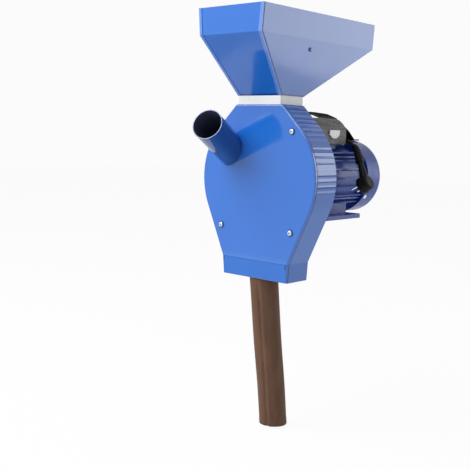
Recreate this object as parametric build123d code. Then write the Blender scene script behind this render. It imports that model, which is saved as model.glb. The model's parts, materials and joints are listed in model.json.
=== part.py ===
from build123d import *
import os
from math import acos, atan2, cos, degrees, hypot, pi, radians, sin, tan

# Electric grain mill. A finned single-phase motor carries a flat sheet-steel hammer chamber on its
# front shield. Grain drops from the hopper through a gated throat, maize cobs go in through the slanted
# pipe on the cover, and the meal leaves through a cloth sleeve hung under the outlet skirt.
#
# Everything is drawn about the motor shaft: Y = 0 is the outer face of the chamber cover, the shaft runs
# along +Y, Z is up and X is to the right seen from the cover. Exported pieces are moved so that the
# origin is the centre of the four foot holes, on the underside of the feet. Millimetres and degrees.

# ---------------------------------------------------------------- chamber sheet metal
SHEET = 1.5                    # steel sheet of the chamber
DRUM_RADIUS = 135.0            # round part of the chamber, outside
CHAMBER_DEPTH = 64.0           # cover face to the back of the back plate
SEAT_RISE = 0.5                # flat throat seat above the top of the round part
SEAT_HALF_WIDTH = 55.0         # half width of that flat seat
FLANK_HALF_WIDTH = 79.0        # half width where the flanks turn into the skirt
FLANK_DROP = 17.0              # that fold below the lowest point of the round part
SKIRT_HEIGHT = 35.0            # outlet skirt, fold to open end
SKIRT_TAPER = 2.0              # each side of the skirt draws in by this much
FACET_ANGLE = 4.4              # press-brake bend every so many degrees of the band
FACET_END_ANGLE = -13.0        # below this angle round the shaft the band is rolled smooth
COVER_DEPTH = 6.0              # cover pan, front to back
COVER_LIP = 3.0                # edge left along the open bottom of the skirt
COVER_EDGE_RADIUS = 2.5
GASKET_THICKNESS = 1.4
GASKET_INSET = 1.0
GASKET_WIDTH = 6.0
BAND_LIP = 7.5                 # inward lip that the gasket seats on
CREASE_LEAN = 2.6              # degrees that the cover leans back below the fold
SLOT_INSET = 4.0               # drain slots below the fold, from the flanks to their middle
SLOT_HEIGHT = 8.0
SLOT_WIDTH = 1.6

# ---------------------------------------------------------------- cover screws and posts
SCREW_INSET_TOP = 16.1         # screw centres from the outline of the round part
SCREW_INSET_LOW = 9.7
SCREW_ANGLE_TOP = 47.7         # above level, round the shaft
SCREW_ANGLE_LOW = 47.9         # below level
COVER_THREAD_RADIUS = 3.0
POST_RADIUS = 5.5
SCREW_HEAD_RADIUS = 4.6
SCREW_HEAD_HEIGHT = 2.6
WASHER_RADIUS = 6.4
WASHER_THICKNESS = 1.0
SCREW_LENGTH = 18.0

# ---------------------------------------------------------------- cob pipe
PIPE_RADIUS = 28.8
PIPE_WALL = 1.6
PIPE_LENGTH = 106.0            # along its axis, cover face to mouth
PIPE_TURN = 16.8               # axis turned towards +X
PIPE_RISE = 24.4               # axis raised above level
PIPE_ROOT_X = -67.8
PIPE_ROOT_Z = 52.7

# ---------------------------------------------------------------- throat and feed gate
THROAT_HALF_WIDTH = 52.0
THROAT_FRONT = 0.5
THROAT_BACK = 66.5
THROAT_HEIGHT = 16.0
THROAT_WALL = 5.0
THROAT_CORNER = 4.0
TONGUE_HEIGHT = 5.0
TONGUE_WALL = 2.0
GATE_THICKNESS = 1.5
GATE_GROOVE = 2.0              # depth of the grooves that carry the gate
GATE_TAB_REACH = 14.0
GATE_TAB_HALF_WIDTH = 12.0
GATE_TAB_RISE = 9.0
GATE_CLEARANCE = 0.3

# ---------------------------------------------------------------- hopper
HOPPER_SHEET = 1.2
RIM_HALF_WIDTH = 75.4
RIM_BACK = 257.0
KNEE_HALF_WIDTH = 71.5
KNEE_BACK = 259.0
HOPPER_FRONT = -83.0
NECK_INSET = 1.0               # hopper neck inside the throat's outline
PYRAMID_HEIGHT = 102.2
HOPPER_BAND_HEIGHT = 48.0
FLANGE_WIDTH = 6.0
GUARD_ROD_RADIUS = 3.0
GUARD_ROD_Y = 60.0
GUARD_ROD_BELOW_KNEE = 17.5
GUARD_HEAD_RADIUS = 3.8
GUARD_HEAD_HEIGHT = 3.0

# ---------------------------------------------------------------- hammer rotor
SHAFT_RADIUS = 9.5
SHAFT_FRONT = 8.0
DISC_RADIUS = 70.0
DISC_THICKNESS = 4.0
FRONT_DISC_Y = 15.0
REAR_DISC_Y = 45.0
HUB_RADIUS = 17.0
HUB_TAIL = 7.0
PIN_RADIUS = 4.0
PIN_CIRCLE = 60.0
PIN_HEAD_RADIUS = 6.0
PIN_HEAD_THICKNESS = 1.6
HAMMER_COUNT = 4
HAMMER_WIDTH = 24.0
HAMMER_REACH = 38.0            # pin to tip
HAMMER_CORNER = 2.0
HAMMER_THICKNESS = 8.0
HAMMER_STEP_Y = 11.6           # axial shift between neighbouring hammers
RUNNING_CLEARANCE = 0.05
SIDE_CLEARANCE = 0.2
SPACER_RADIUS = 7.0
NUT_ACROSS_FLATS = 24.0
NUT_THICKNESS = 6.0

# ---------------------------------------------------------------- sieve
SIEVE_RADIUS = 104.0           # inside
SIEVE_SHEET = 1.2
SIEVE_OPEN_HALF_ANGLE = 75.0   # left open each side of straight up
SIEVE_FRONT = 3.0
SIEVE_BACK = 61.0
SIEVE_HOLE_RADIUS = 3.0
SIEVE_HOLE_PITCH = 15.0
SIEVE_HOLE_ROWS = 4
RAIL_HEIGHT = 3.0
RAIL_DEPTH = 4.0

# ---------------------------------------------------------------- outlet and sleeve
SPIGOT_RADIUS = 26.2
SPIGOT_WALL = 1.2
SPIGOT_LENGTH = 20.0
FUNNEL_HEIGHT = 6.0
FUNNEL_FLARE = 2.4             # funnel mouth over the spigot's radius
FLOOR_FRONT = 3.0              # floor starts this far behind the cover's face
SLEEVE_TOP_GAP = 1.4
SLEEVE_RADIUS = 27.7
SLEEVE_WALL = 1.2
SLEEVE_DROP = 306.0            # straight part, below its short neck
SLEEVE_NECK = 24.0
SLEEVE_LEAN_BACK = 9.6         # degrees
SLEEVE_LEAN_SIDE = 1.0         # degrees towards -X
SLEEVE_BEND_RADIUS = 60.0
CLAMP_WIDTH = 9.0
CLAMP_THICKNESS = 0.9
CLAMP_GAP = 0.3
CLAMP_BOX = 8.0
CLAMP_SETBACK = 3.0

# ---------------------------------------------------------------- motor
SHAFT_HEIGHT = 80.0
MOTOR_FLANGE_RADIUS = 72.0
MOTOR_FLANGE_DEPTH = 12.0
BARREL_RADIUS = 62.0
BARREL_BORE = 57.5
BARREL_LENGTH = 190.0
FIN_RADIUS = 70.0
FIN_THICKNESS = 3.0
FIN_ANGLE = 15.0
BOX_SECTOR = 30.0              # no fins this far each side of straight up
FOOT_SECTOR = 32.0             # no fins this far each side of straight down
REGISTER_DEPTH = 8.0
REGISTER_WALL = 5.0
BEARING_RADIUS = 23.5
BEARING_WIDTH = 14.0
BEARING_SEAT_RADIUS = 10.0
HUB_WALL = 5.0
BEARING_COVER = 2.0            # shield metal left in front of each bearing
SHAFT_HOLE_CLEARANCE = 1.0
REAR_SHIELD_RADIUS = 72.4
REAR_SHIELD_DEPTH = 9.0
STATOR_LENGTH = 100.0
STATOR_FRONT_GAP = 36.0        # motor flange to the stator stack
STATOR_BORE = 36.5
AIR_GAP = 0.5
WINDING_LENGTH = 17.0
WINDING_OUTER = 54.0
WINDING_INNER = 41.0
CAGE_RING_LENGTH = 5.0
CAGE_RING_OUTER = 33.0
FAN_TAIL_RADIUS = 8.5
FAN_RADIUS = 58.0
FAN_HUB_RADIUS = 15.0
FAN_PLATE = 2.5
FAN_WIDTH = 17.0
FAN_BLADES = 8
FAN_BLADE_THICKNESS = 2.4
FAN_GAP = 7.0
FAN_COVER_RADIUS = 74.0
FAN_COVER_WALL = 1.2
FAN_COVER_LENGTH = 51.0
FAN_COVER_OVERLAP = 2.0        # cover laps this far over the finned barrel
FAN_COVER_EDGE = 10.0
GRILLE_SLOTS = 12
GRILLE_SLOT_WIDTH = 7.0
GRILLE_INNER = 17.0
GRILLE_OUTER = 58.0
FAN_SCREW_ANGLES = (-32.0, 88.0, 208.0)
FAN_SCREW_RADIUS = 2.0
FAN_SCREW_HEAD = 4.2
TIE_ROD_RADIUS = 2.5
TIE_ROD_CIRCLE = 66.6
TIE_ROD_ANGLE = 37.5
TIE_HEAD_RADIUS = 4.0
TIE_HEAD_THICKNESS = 3.5
FLANGE_BOLT_CIRCLE = 52.0
FLANGE_BOLT_RADIUS = 3.0
FLANGE_BOLT_HEAD = 5.8
FLANGE_BOLT_HEAD_THICKNESS = 4.0

# ---------------------------------------------------------------- feet
FOOT_HALF_WIDTH = 73.0
FOOT_LENGTH = 125.0
FOOT_FROM_FLANGE = 58.0        # motor flange face to the front end of the feet
FOOT_THICKNESS = 8.0
FOOT_CORNER = 8.0
FOOT_HOLE_RADIUS = 4.5
FOOT_HOLE_SPAN_X = 125.0
FOOT_HOLE_SPAN_Y = 100.0
WEB_INNER = 33.0
WEB_THICKNESS = 8.0
WEB_SETBACK = 10.0

# ---------------------------------------------------------------- terminal box
BOX_HALF_WIDTH = 35.0
BOX_FRONT = 105.0
BOX_LENGTH = 130.0
BOX_FLOOR = 66.0
BOX_FLOOR_THICKNESS = 3.0
BOX_HEIGHT = 50.0
BOX_WALL = 2.2
BOX_SLOPE_LENGTH = 40.0        # rear top corner, along the box
BOX_SLOPE_DROP = 21.0
BOX_SLOPE_BULGE = 3.5
BOX_EDGE = 2.0
BOX_GROOVE_PITCH = 4.5         # grooves along the lid's sides, below its top edge
BOX_GROOVE_WIDTH = 1.4
BOX_GROOVE_DEPTH = 0.6
BOX_GROOVES = 3
BOX_GROOVE_INSET = 5.0         # from the lid's front, and from where its top starts to slope
NECK_HALF_WIDTH = 24.0
NECK_SETBACK = 20.0
CAPACITOR_RADIUS = 15.5
CAPACITOR_GAP = 5.6            # capacitor to the terminal block
TERMINAL_LENGTH = 34.0
TERMINAL_WIDTH = 18.0
TERMINAL_HEIGHT = 14.0
CAPACITOR_SETBACK = 14.0
BOX_SCREW_RADIUS = 1.7
BOX_BOSS_RADIUS = 3.5
BOX_BOSS_HEIGHT = 14.0
BOX_BOSS_OVERLAP = 0.8         # each screw boss stands this far into the lid's walls

# ---------------------------------------------------------------- switch
SWITCH_Y = 191.8
SWITCH_Z = 86.5
BUTTON_HALF_WIDTH = 16.5
BUTTON_TOP = 7.2
BUTTON_SIDE_DROP = 1.5
BUTTON_BOTTOM = 9.2
BUTTON_PROUD = 3.2
BUTTON_TRAVEL = 2.5
BUTTON_CLEARANCE = 0.3
SWITCH_DEPTH = 18.0

# ---------------------------------------------------------------- carrying strap
STRAP_HALF_WIDTH = 18.0
STRAP_THICKNESS = 2.5
STRAP_TAB = 16.0
STRAP_OVERHANG = 4.0           # past the straight part of the fan cover
STRAP_BEND_RADIUS = 5.0
STRAP_RISE = 11.0              # over the box at the back plate
STRAP_BENDS = [(-85.0, 10.0), (-45.0, 8.0), (-13.0, 1.0)]   # from the box's back and top edges
STRAP_HEEL_Y = 33.0            # last bend behind the box
STRAP_HEEL_RISE = 19.0         # and over the fan cover
STRAP_SCREW_RADIUS = 2.5
STRAP_SCREW_HEAD = 4.8

# ---------------------------------------------------------------- cord, gland and plug
CORD_RADIUS = 3.3
GLAND_X = 8.0
GLAND_Z = 82.0
GLAND_RADIUS = 6.5
GLAND_COLLAR = 3.0             # collar against the box, its depth
GLAND_BEND_RADIUS = 8.0
RELIEF_LENGTH = 24.0
RELIEF_TIP_RADIUS = 4.3
PLUG_FACE_RADIUS = 17.0
PLUG_BODY_DEPTH = 22.0
PLUG_FACE_DEPTH = 7.0
PLUG_BACK_RADIUS = 14.0
PLUG_ELBOW_RADIUS = 10.0
PLUG_ELBOW_REACH = 52.0        # body centre line to the cord entry
PLUG_TIP_RADIUS = 4.6
PLUG_PIN_RADIUS = 2.4
PLUG_PIN_LENGTH = 19.0
PLUG_PIN_PITCH = 19.0

# Routes of the free cord, chosen by hand. They never pass closer than a cord's width to the motor.
LEAD_ROUTE = [
    (-24.0, 246.0, 82.0),
    (-42.0, 245.0, 79.0),
    (-58.0, 238.0, 71.0),
    (-70.0, 225.0, 61.0),
    (-78.0, 209.0, 53.0),
    (-81.5, 193.0, 47.5),
    (-82.0, 178.0, 41.0),
    (-81.4, 167.5, 30.0),
    (-80.8, 163.2, 16.0),
]
TAIL_ROUTE = [
    (-80.8, 235.6, 9.0),
    (-80.8, 237.0, 25.0),
    (-79.5, 243.0, 40.0),
    (-72.0, 250.5, 54.0),
    (-56.0, 255.0, 65.0),
    (-34.0, 256.0, 71.5),
    (-9.0, 256.0, 74.5),
    (14.0, 254.0, 74.5),
    (34.0, 248.0, 72.0),
    (51.0, 239.0, 66.0),
    (64.5, 229.5, 57.8),
    (75.2, 221.4, 46.8),
    (83.4, 216.8, 32.9),
]
COIL_CENTRE = (-87.4, 196.0, -6.0)
COIL_RADIUS = 36.3             # middle of the turns
COIL_TURNS_WIDE = 3            # turns side by side
COIL_TURNS_DEEP = 2            # turns on each other
COIL_EDGE = 3.0
TIE_THICKNESS = 0.8
TIE_WIDTH = 8.0
PLUG_FACE_CENTRE = (97.0, 205.0, -14.0)
PLUG_POINTING = (-0.876, -0.031, -0.482)
PLUG_PIN_LINE = (-0.086, -0.974, 0.219)

# ---------------------------------------------------------------- derived places
SEAT_Z = DRUM_RADIUS + SEAT_RISE
FOLD_Z = -(DRUM_RADIUS + FLANK_DROP)
SKIRT_Z = FOLD_Z - SKIRT_HEIGHT
SKIRT_HALF_WIDTH = FLANK_HALF_WIDTH - SKIRT_TAPER
BAND_FRONT = COVER_DEPTH + GASKET_THICKNESS
THROAT_TOP = SEAT_Z + THROAT_HEIGHT
GATE_Z = SEAT_Z + THROAT_HEIGHT / 2
KNEE_Z = THROAT_TOP + PYRAMID_HEIGHT
RIM_Z = KNEE_Z + HOPPER_BAND_HEIGHT
OUTLET_Y = CHAMBER_DEPTH / 2
SLEEVE_TOP = FOLD_Z - FUNNEL_HEIGHT - SLEEVE_TOP_GAP
BARREL_FRONT = CHAMBER_DEPTH + MOTOR_FLANGE_DEPTH
BARREL_BACK = BARREL_FRONT + BARREL_LENGTH
SHIELD_BACK = BARREL_BACK + REAR_SHIELD_DEPTH
FRONT_BEARING_Y = CHAMBER_DEPTH + BEARING_COVER
REAR_BEARING_Y = SHIELD_BACK - BEARING_COVER - BEARING_WIDTH
STATOR_FRONT = BARREL_FRONT + STATOR_FRONT_GAP
STATOR_BACK = STATOR_FRONT + STATOR_LENGTH
FAN_FRONT = SHIELD_BACK + FAN_GAP
FAN_BACK = FAN_FRONT + FAN_WIDTH
FAN_COVER_FRONT = BARREL_BACK - FAN_COVER_OVERLAP
FAN_COVER_BACK = FAN_COVER_FRONT + FAN_COVER_LENGTH
FOOT_FRONT = CHAMBER_DEPTH + FOOT_FROM_FLANGE
FOOT_CENTRE_Y = FOOT_FRONT + FOOT_LENGTH / 2
FOOT_BACK = FOOT_FRONT + FOOT_LENGTH
BOX_BACK = BOX_FRONT + BOX_LENGTH
BOX_TOP = BOX_FLOOR + BOX_HEIGHT
BOX_SILL = BOX_FLOOR + BOX_FLOOR_THICKNESS
BOX_SCREW_INSET = BOX_WALL + BOX_BOSS_RADIUS - BOX_BOSS_OVERLAP
COVER_SCREWS = [
    (side * (DRUM_RADIUS - inset) * cos(radians(angle)), (DRUM_RADIUS - inset) * sin(radians(angle)))
    for side in (-1, 1)
    for inset, angle in ((SCREW_INSET_TOP, SCREW_ANGLE_TOP), (SCREW_INSET_LOW, -SCREW_ANGLE_LOW))
]


# ---------------------------------------------------------------- helpers
def disc(radius, front, back, x=0.0, z=0.0):
    """Round bar along Y between two Y planes."""
    return Pos(x, (front + back) / 2, z) * Rot(90, 0, 0) * Cylinder(radius, back - front)


def ring(outer, inner, front, back, x=0.0, z=0.0):
    """Round tube along Y between two Y planes."""
    return disc(outer, front, back, x, z) - disc(inner, front - 1, back + 1, x, z)


def block(x_range, y_range, z_range):
    """Box between two corners."""
    size = [high - low for low, high in (x_range, y_range, z_range)]
    middle = [(high + low) / 2 for low, high in (x_range, y_range, z_range)]
    return Pos(*middle) * Box(*size)


def post(radius, low, high, x=0.0, y=0.0):
    """Round bar along Z between two heights."""
    return Pos(x, y, (low + high) / 2) * Cylinder(radius, high - low)


def along_y(face, front, back):
    """Prism of an X-Z outline between two Y planes."""
    return Pos(0, front, 0) * extrude(Plane.XZ * face, amount=front - back)


def across_x(face, left, right):
    """Prism of a Y-Z outline between two X planes."""
    return Pos(left, 0, 0) * extrude(Plane.YZ * face, amount=right - left)


def hexagon(across_flats, front, back, x=0.0, z=0.0):
    """Hexagon bar along Y."""
    return Pos(x, 0, z) * along_y(RegularPolygon(across_flats / 2, 6, major_radius=False), front, back)


def group(shapes):
    """Separate solids kept together in one node."""
    return Compound([solid for shape in shapes for solid in shape.solids()])


def around(count, first=0.0):
    """Equal angles round the shaft."""
    return [first + 360.0 * step / count for step in range(count)]


def turned(angle, shape):
    """The shape turned about the shaft; a positive angle turns +X towards +Z."""
    return Rot(0, -angle, 0) * shape


def polar(radius, angle):
    """X and Z of a point round the shaft."""
    return radius * cos(radians(angle)), radius * sin(radians(angle))


# ---------------------------------------------------------------- chamber
def contact_angle(x, z, swing_sign):
    """Where a line from the point (x, z) touches the round part, as an angle round the shaft."""
    return degrees(atan2(z, x)) + swing_sign * degrees(acos(DRUM_RADIUS / hypot(x, z)))


def chamber_outline(faceted):
    """Outline of the chamber: flat seat, shoulders, round part with or without facets, flanks and skirt."""
    top = contact_angle(SEAT_HALF_WIDTH, SEAT_Z, -1)
    low = contact_angle(FLANK_HALF_WIDTH, FOLD_Z, 1)
    smooth_from = FACET_END_ANGLE if faceted else top
    bends = round((top - smooth_from) / FACET_ANGLE)
    angles = [top - (top - smooth_from) * step / max(bends, 1) for step in range(bends + 1)]
    middle = (smooth_from + low) / 2
    half = (
        Polyline((0, SEAT_Z), (SEAT_HALF_WIDTH, SEAT_Z), *[polar(DRUM_RADIUS, angle) for angle in angles])
        + ThreePointArc(*[polar(DRUM_RADIUS, angle) for angle in (smooth_from, middle, low)])
        + Line(polar(DRUM_RADIUS, low), (FLANK_HALF_WIDTH, FOLD_Z))
        + Line((FLANK_HALF_WIDTH, FOLD_Z), (SKIRT_HALF_WIDTH, SKIRT_Z))
        + Line((SKIRT_HALF_WIDTH, SKIRT_Z), (0, SKIRT_Z))
    )
    return make_face(half + mirror(half, about=Plane.YZ))


def shrunk(face, amount):
    """The outline drawn in by an amount, with sharp corners."""
    return offset(face, -amount, kind=Kind.INTERSECTION)


def pipe_plane():
    """Plane of the pipe's root, its Z along the pipe."""
    turn = radians(PIPE_TURN)
    rise = radians(PIPE_RISE)
    axis = (sin(turn) * cos(rise), -cos(turn) * cos(rise), sin(rise))
    return Plane(origin=(PIPE_ROOT_X, 0, PIPE_ROOT_Z), x_dir=(cos(turn), sin(turn), 0), z_dir=axis)


def pipe_bar(radius, start, end):
    """Round bar on the pipe's axis."""
    bar = Cylinder(radius, end - start, align=(Align.CENTER, Align.CENTER, Align.MIN))
    return pipe_plane() * Pos(0, 0, start) * bar


def front_cover():
    """Pressed pan with a rounded edge, folded back a little below the flanks, with two drain slots."""
    face = chamber_outline(faceted=False)
    pan = along_y(face, 0, COVER_DEPTH)
    front_edges = pan.faces().sort_by(Axis.Y)[0].edges()
    pan = fillet(front_edges, COVER_EDGE_RADIUS)
    pan -= along_y(shrunk(face, SHEET), SHEET, COVER_DEPTH + 1)
    pan -= pipe_bar(PIPE_RADIUS, -PIPE_RADIUS, PIPE_LENGTH)
    open_half = SKIRT_HALF_WIDTH - BAND_LIP
    pan -= block((-open_half, open_half), (COVER_LIP, COVER_DEPTH + 1), (SKIRT_Z - 1, SKIRT_Z + COVER_DEPTH))
    for x, z in COVER_SCREWS:
        pan -= disc(COVER_THREAD_RADIUS + SIDE_CLEARANCE, -1, COVER_DEPTH, x, z)
    fold = Plane(origin=(0, 0, FOLD_Z), z_dir=(0, 0, 1))
    upper = split(pan, bisect_by=fold, keep=Keep.TOP)
    lower = split(pan, bisect_by=fold, keep=Keep.BOTTOM)
    for side in (-1, 1):
        middle = side * (FLANK_HALF_WIDTH - SLOT_INSET)
        widths = (middle - SLOT_WIDTH / 2, middle + SLOT_WIDTH / 2)
        lower -= block(widths, (-1, SHEET + 1), (FOLD_Z - 1 - SLOT_HEIGHT, FOLD_Z - 1))
    leaning = Pos(0, 0, FOLD_Z) * Rot(CREASE_LEAN, 0, 0) * Pos(0, 0, -FOLD_Z) * lower
    behind = block((-DRUM_RADIUS, DRUM_RADIUS), (COVER_DEPTH, 2 * COVER_DEPTH), (2 * SKIRT_Z, 0))
    return upper + (leaning - behind)


def cover_gasket():
    """Felt strip between the cover and the band, open under the skirt."""
    face = chamber_outline(faceted=False)
    strip = shrunk(face, GASKET_INSET) - shrunk(face, GASKET_INSET + GASKET_WIDTH)
    felt = along_y(strip, COVER_DEPTH, BAND_FRONT)
    side = SKIRT_HALF_WIDTH - GASKET_INSET - GASKET_WIDTH
    foot = SKIRT_Z + GASKET_INSET + GASKET_WIDTH
    return felt - block((-side, side), (0, BAND_FRONT + 1), (SKIRT_Z - 1, foot + 1))


def drum_band():
    """Band bent in facets and then rolled round the chamber, with an inward lip for the gasket."""
    face = chamber_outline(faceted=True)
    inside = shrunk(face, SHEET)
    band = along_y(face - inside, BAND_FRONT, CHAMBER_DEPTH)
    band += along_y(face - shrunk(face, BAND_LIP), BAND_FRONT, BAND_FRONT + SHEET)
    side = SKIRT_HALF_WIDTH - BAND_LIP
    band -= block((-side, side), (0, CHAMBER_DEPTH + 1), (SKIRT_Z - 1, SKIRT_Z + BAND_LIP + 1))
    band -= block(
        (-SKIRT_HALF_WIDTH + SHEET, SKIRT_HALF_WIDTH - SHEET),
        (BAND_FRONT + SHEET, CHAMBER_DEPTH + 1),
        (SKIRT_Z - 1, SKIRT_Z + SHEET + 1),
    )
    return band - throat_opening()


def throat_opening():
    """Way for the grain through the top of the band."""
    half = THROAT_HALF_WIDTH - THROAT_WALL
    lengthwise = (THROAT_FRONT + THROAT_WALL, CHAMBER_DEPTH - SHEET)
    return block((-half, half), lengthwise, (SEAT_Z - BAND_LIP - 1, SEAT_Z + 1))


def back_plate():
    """Flat plate welded into the back of the band; the motor flange bolts to it."""
    inside = shrunk(chamber_outline(faceted=True), SHEET)
    plate = along_y(inside, CHAMBER_DEPTH - SHEET, CHAMBER_DEPTH)
    plate -= disc(SHAFT_RADIUS + HUB_WALL, CHAMBER_DEPTH - 2 * SHEET, CHAMBER_DEPTH + 1)
    for angle in around(4, 45):
        x, z = polar(FLANGE_BOLT_CIRCLE, angle)
        plate -= disc(FLANGE_BOLT_RADIUS, CHAMBER_DEPTH - 2 * SHEET, CHAMBER_DEPTH + 1, x, z)
    return plate - strap_shanks()


def cover_posts():
    """Tapped posts between the cover and the back plate."""
    posts = []
    for x, z in COVER_SCREWS:
        bar = disc(POST_RADIUS, SHEET, CHAMBER_DEPTH - SHEET, x, z)
        posts.append(bar - disc(COVER_THREAD_RADIUS, 0, SCREW_LENGTH + 2, x, z))
    return group(posts)


def cover_screws():
    """Pan-head screws with flat washers."""
    screws = []
    for x, z in COVER_SCREWS:
        washer = disc(WASHER_RADIUS, -WASHER_THICKNESS, 0, x, z)
        head = disc(SCREW_HEAD_RADIUS, -WASHER_THICKNESS - SCREW_HEAD_HEIGHT, -WASHER_THICKNESS, x, z)
        head = fillet(head.faces().sort_by(Axis.Y)[0].edges(), SCREW_HEAD_HEIGHT * 0.6)
        shank = disc(COVER_THREAD_RADIUS, -WASHER_THICKNESS, SCREW_LENGTH, x, z)
        screws.append(washer + head + shank)
    return group(screws)


def cob_pipe():
    """Tube mitred into the cover."""
    tube = pipe_bar(PIPE_RADIUS, -PIPE_RADIUS, PIPE_LENGTH)
    tube -= pipe_bar(PIPE_RADIUS - PIPE_WALL, -2 * PIPE_RADIUS, PIPE_LENGTH + 1)
    reach = 3 * PIPE_RADIUS
    wide = (PIPE_ROOT_X - reach, PIPE_ROOT_X + reach)
    behind = block(wide, (SHEET, reach), (PIPE_ROOT_Z - reach, PIPE_ROOT_Z + reach))
    return tube - behind


# ---------------------------------------------------------------- throat and hopper
def throat_collar():
    """Moulded frame between chamber and hopper, grooved for the gate."""
    length = THROAT_BACK - THROAT_FRONT
    middle = (THROAT_BACK + THROAT_FRONT) / 2
    outer = RectangleRounded(2 * THROAT_HALF_WIDTH, length, THROAT_CORNER)
    hole = Rectangle(2 * (THROAT_HALF_WIDTH - THROAT_WALL), length - 2 * THROAT_WALL)
    body = Pos(0, middle, SEAT_Z) * extrude(outer - hole, amount=THROAT_HEIGHT)
    tongue_wall = NECK_INSET + HOPPER_SHEET + GATE_CLEARANCE
    tongue = Rectangle(2 * (THROAT_HALF_WIDTH - tongue_wall), length - 2 * tongue_wall)
    tongue -= Rectangle(
        2 * (THROAT_HALF_WIDTH - tongue_wall - TONGUE_WALL), length - 2 * (tongue_wall + TONGUE_WALL)
    )
    body += Pos(0, middle, THROAT_TOP) * extrude(tongue, amount=-TONGUE_HEIGHT)
    return body - gate_slot()


def gate_slot():
    """Groove that carries the gate, open at the back."""
    half = THROAT_HALF_WIDTH - THROAT_WALL + GATE_GROOVE
    rise = GATE_THICKNESS / 2 + GATE_CLEARANCE
    start = THROAT_FRONT + THROAT_WALL - GATE_GROOVE
    return block((-half, half), (start, THROAT_BACK + 1), (GATE_Z - rise, GATE_Z + rise))


def feed_gate():
    """Sliding plate with a turned-up pull at the back."""
    half = THROAT_HALF_WIDTH - THROAT_WALL + GATE_GROOVE - GATE_CLEARANCE
    start = THROAT_FRONT + THROAT_WALL - GATE_GROOVE + GATE_CLEARANCE
    end = THROAT_BACK + GATE_TAB_REACH
    low = GATE_Z - GATE_THICKNESS / 2
    high = GATE_Z + GATE_THICKNESS / 2
    plate = block((-half, half), (start, THROAT_BACK - GATE_CLEARANCE), (low, high))
    tab = (-GATE_TAB_HALF_WIDTH, GATE_TAB_HALF_WIDTH)
    plate += block(tab, (start, end), (low, high))
    return plate + block(tab, (end - GATE_THICKNESS, end), (low, high + GATE_TAB_RISE))


def hopper_sections(trim=0.0, front=None, back=None):
    """Rectangles of the hopper at its rim, knee and neck, optionally narrowed or lengthened."""
    neck = (THROAT_HALF_WIDTH - NECK_INSET, THROAT_FRONT + NECK_INSET, THROAT_BACK - NECK_INSET, THROAT_TOP)
    knee = (KNEE_HALF_WIDTH, HOPPER_FRONT, KNEE_BACK, KNEE_Z)
    rim = (RIM_HALF_WIDTH, HOPPER_FRONT, RIM_BACK, RIM_Z)
    faces = []
    for half, low_y, high_y, z in (neck, knee, rim):
        low_y = low_y if front is None else front
        high_y = high_y if back is None else back
        faces.append(Pos(0, (low_y + high_y) / 2, z) * Rectangle(2 * (half - trim), high_y - low_y))
    return faces


def hopper_form(trim=0.0, front=None, back=None):
    """Solid hopper form: a pyramid under an upright band."""
    neck, knee, rim = hopper_sections(trim, front, back)
    return loft([neck, knee], ruled=True) + loft([knee, rim], ruled=True)


def hopper_panels():
    """Two side panels with folded flanges, and the front and back panels between them."""
    form = hopper_form()
    reach = RIM_BACK - HOPPER_FRONT
    narrow = hopper_form(FLANGE_WIDTH, HOPPER_FRONT - reach, RIM_BACK + reach)
    wall = HOPPER_SHEET
    left_sheet = form - Pos(wall, 0, 0) * form
    right_sheet = form - Pos(-wall, 0, 0) * form
    front = form - Pos(0, wall, 0) * form - left_sheet - right_sheet
    back = form - Pos(0, -wall, 0) * form - left_sheet - right_sheet
    front_flanges = Pos(0, -wall, 0) * form - form - narrow
    back_flanges = Pos(0, wall, 0) * form - form - narrow
    big = 2 * reach
    left_half = block((-big, 0), (-big, big), (0, big))
    right_half = block((0, big), (-big, big), (0, big))
    left = left_sheet + (front_flanges & left_half) + (back_flanges & left_half)
    right = right_sheet + (front_flanges & right_half) + (back_flanges & right_half)
    return left - guard_bar(), right - guard_bar(), front, back


def guard_half_width():
    """Half width of the hopper at the guard rod."""
    slope = (KNEE_HALF_WIDTH - THROAT_HALF_WIDTH + NECK_INSET) / PYRAMID_HEIGHT
    return KNEE_HALF_WIDTH - slope * GUARD_ROD_BELOW_KNEE


def guard_bar():
    """Straight bar across the hopper."""
    half = guard_half_width() + 1
    return Pos(0, GUARD_ROD_Y, KNEE_Z - GUARD_ROD_BELOW_KNEE) * Rot(0, 90, 0) * Cylinder(
        GUARD_ROD_RADIUS, 2 * half
    )


def guard_rod():
    """Finger guard across the hopper with a riveted head at each end."""
    half = guard_half_width()
    rod = guard_bar()
    z = KNEE_Z - GUARD_ROD_BELOW_KNEE
    for side in (-1, 1):
        head = Cylinder(GUARD_HEAD_RADIUS, GUARD_HEAD_HEIGHT, align=(Align.CENTER, Align.CENTER, Align.MIN))
        head = fillet(head.faces().sort_by(Axis.Z)[-1].edges(), GUARD_HEAD_HEIGHT * 0.6)
        slope = (KNEE_HALF_WIDTH - THROAT_HALF_WIDTH + NECK_INSET) / PYRAMID_HEIGHT
        lean = degrees(atan2(slope, 1))
        seat = Pos(side * half, GUARD_ROD_Y, z) * Rot(0, side * (90 + lean), 0)
        rod += seat * head
    return rod


# ---------------------------------------------------------------- hammer rotor
def hammer_angles():
    """Angles of the hammer pins round the shaft."""
    return around(HAMMER_COUNT, 45.0)


def hammer_front(index):
    """Front face of a hammer; neighbours are stepped along their pins."""
    start = FRONT_DISC_Y + DISC_THICKNESS + SIDE_CLEARANCE
    return start + SIDE_CLEARANCE + HAMMER_STEP_Y * (index % 2)


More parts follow.
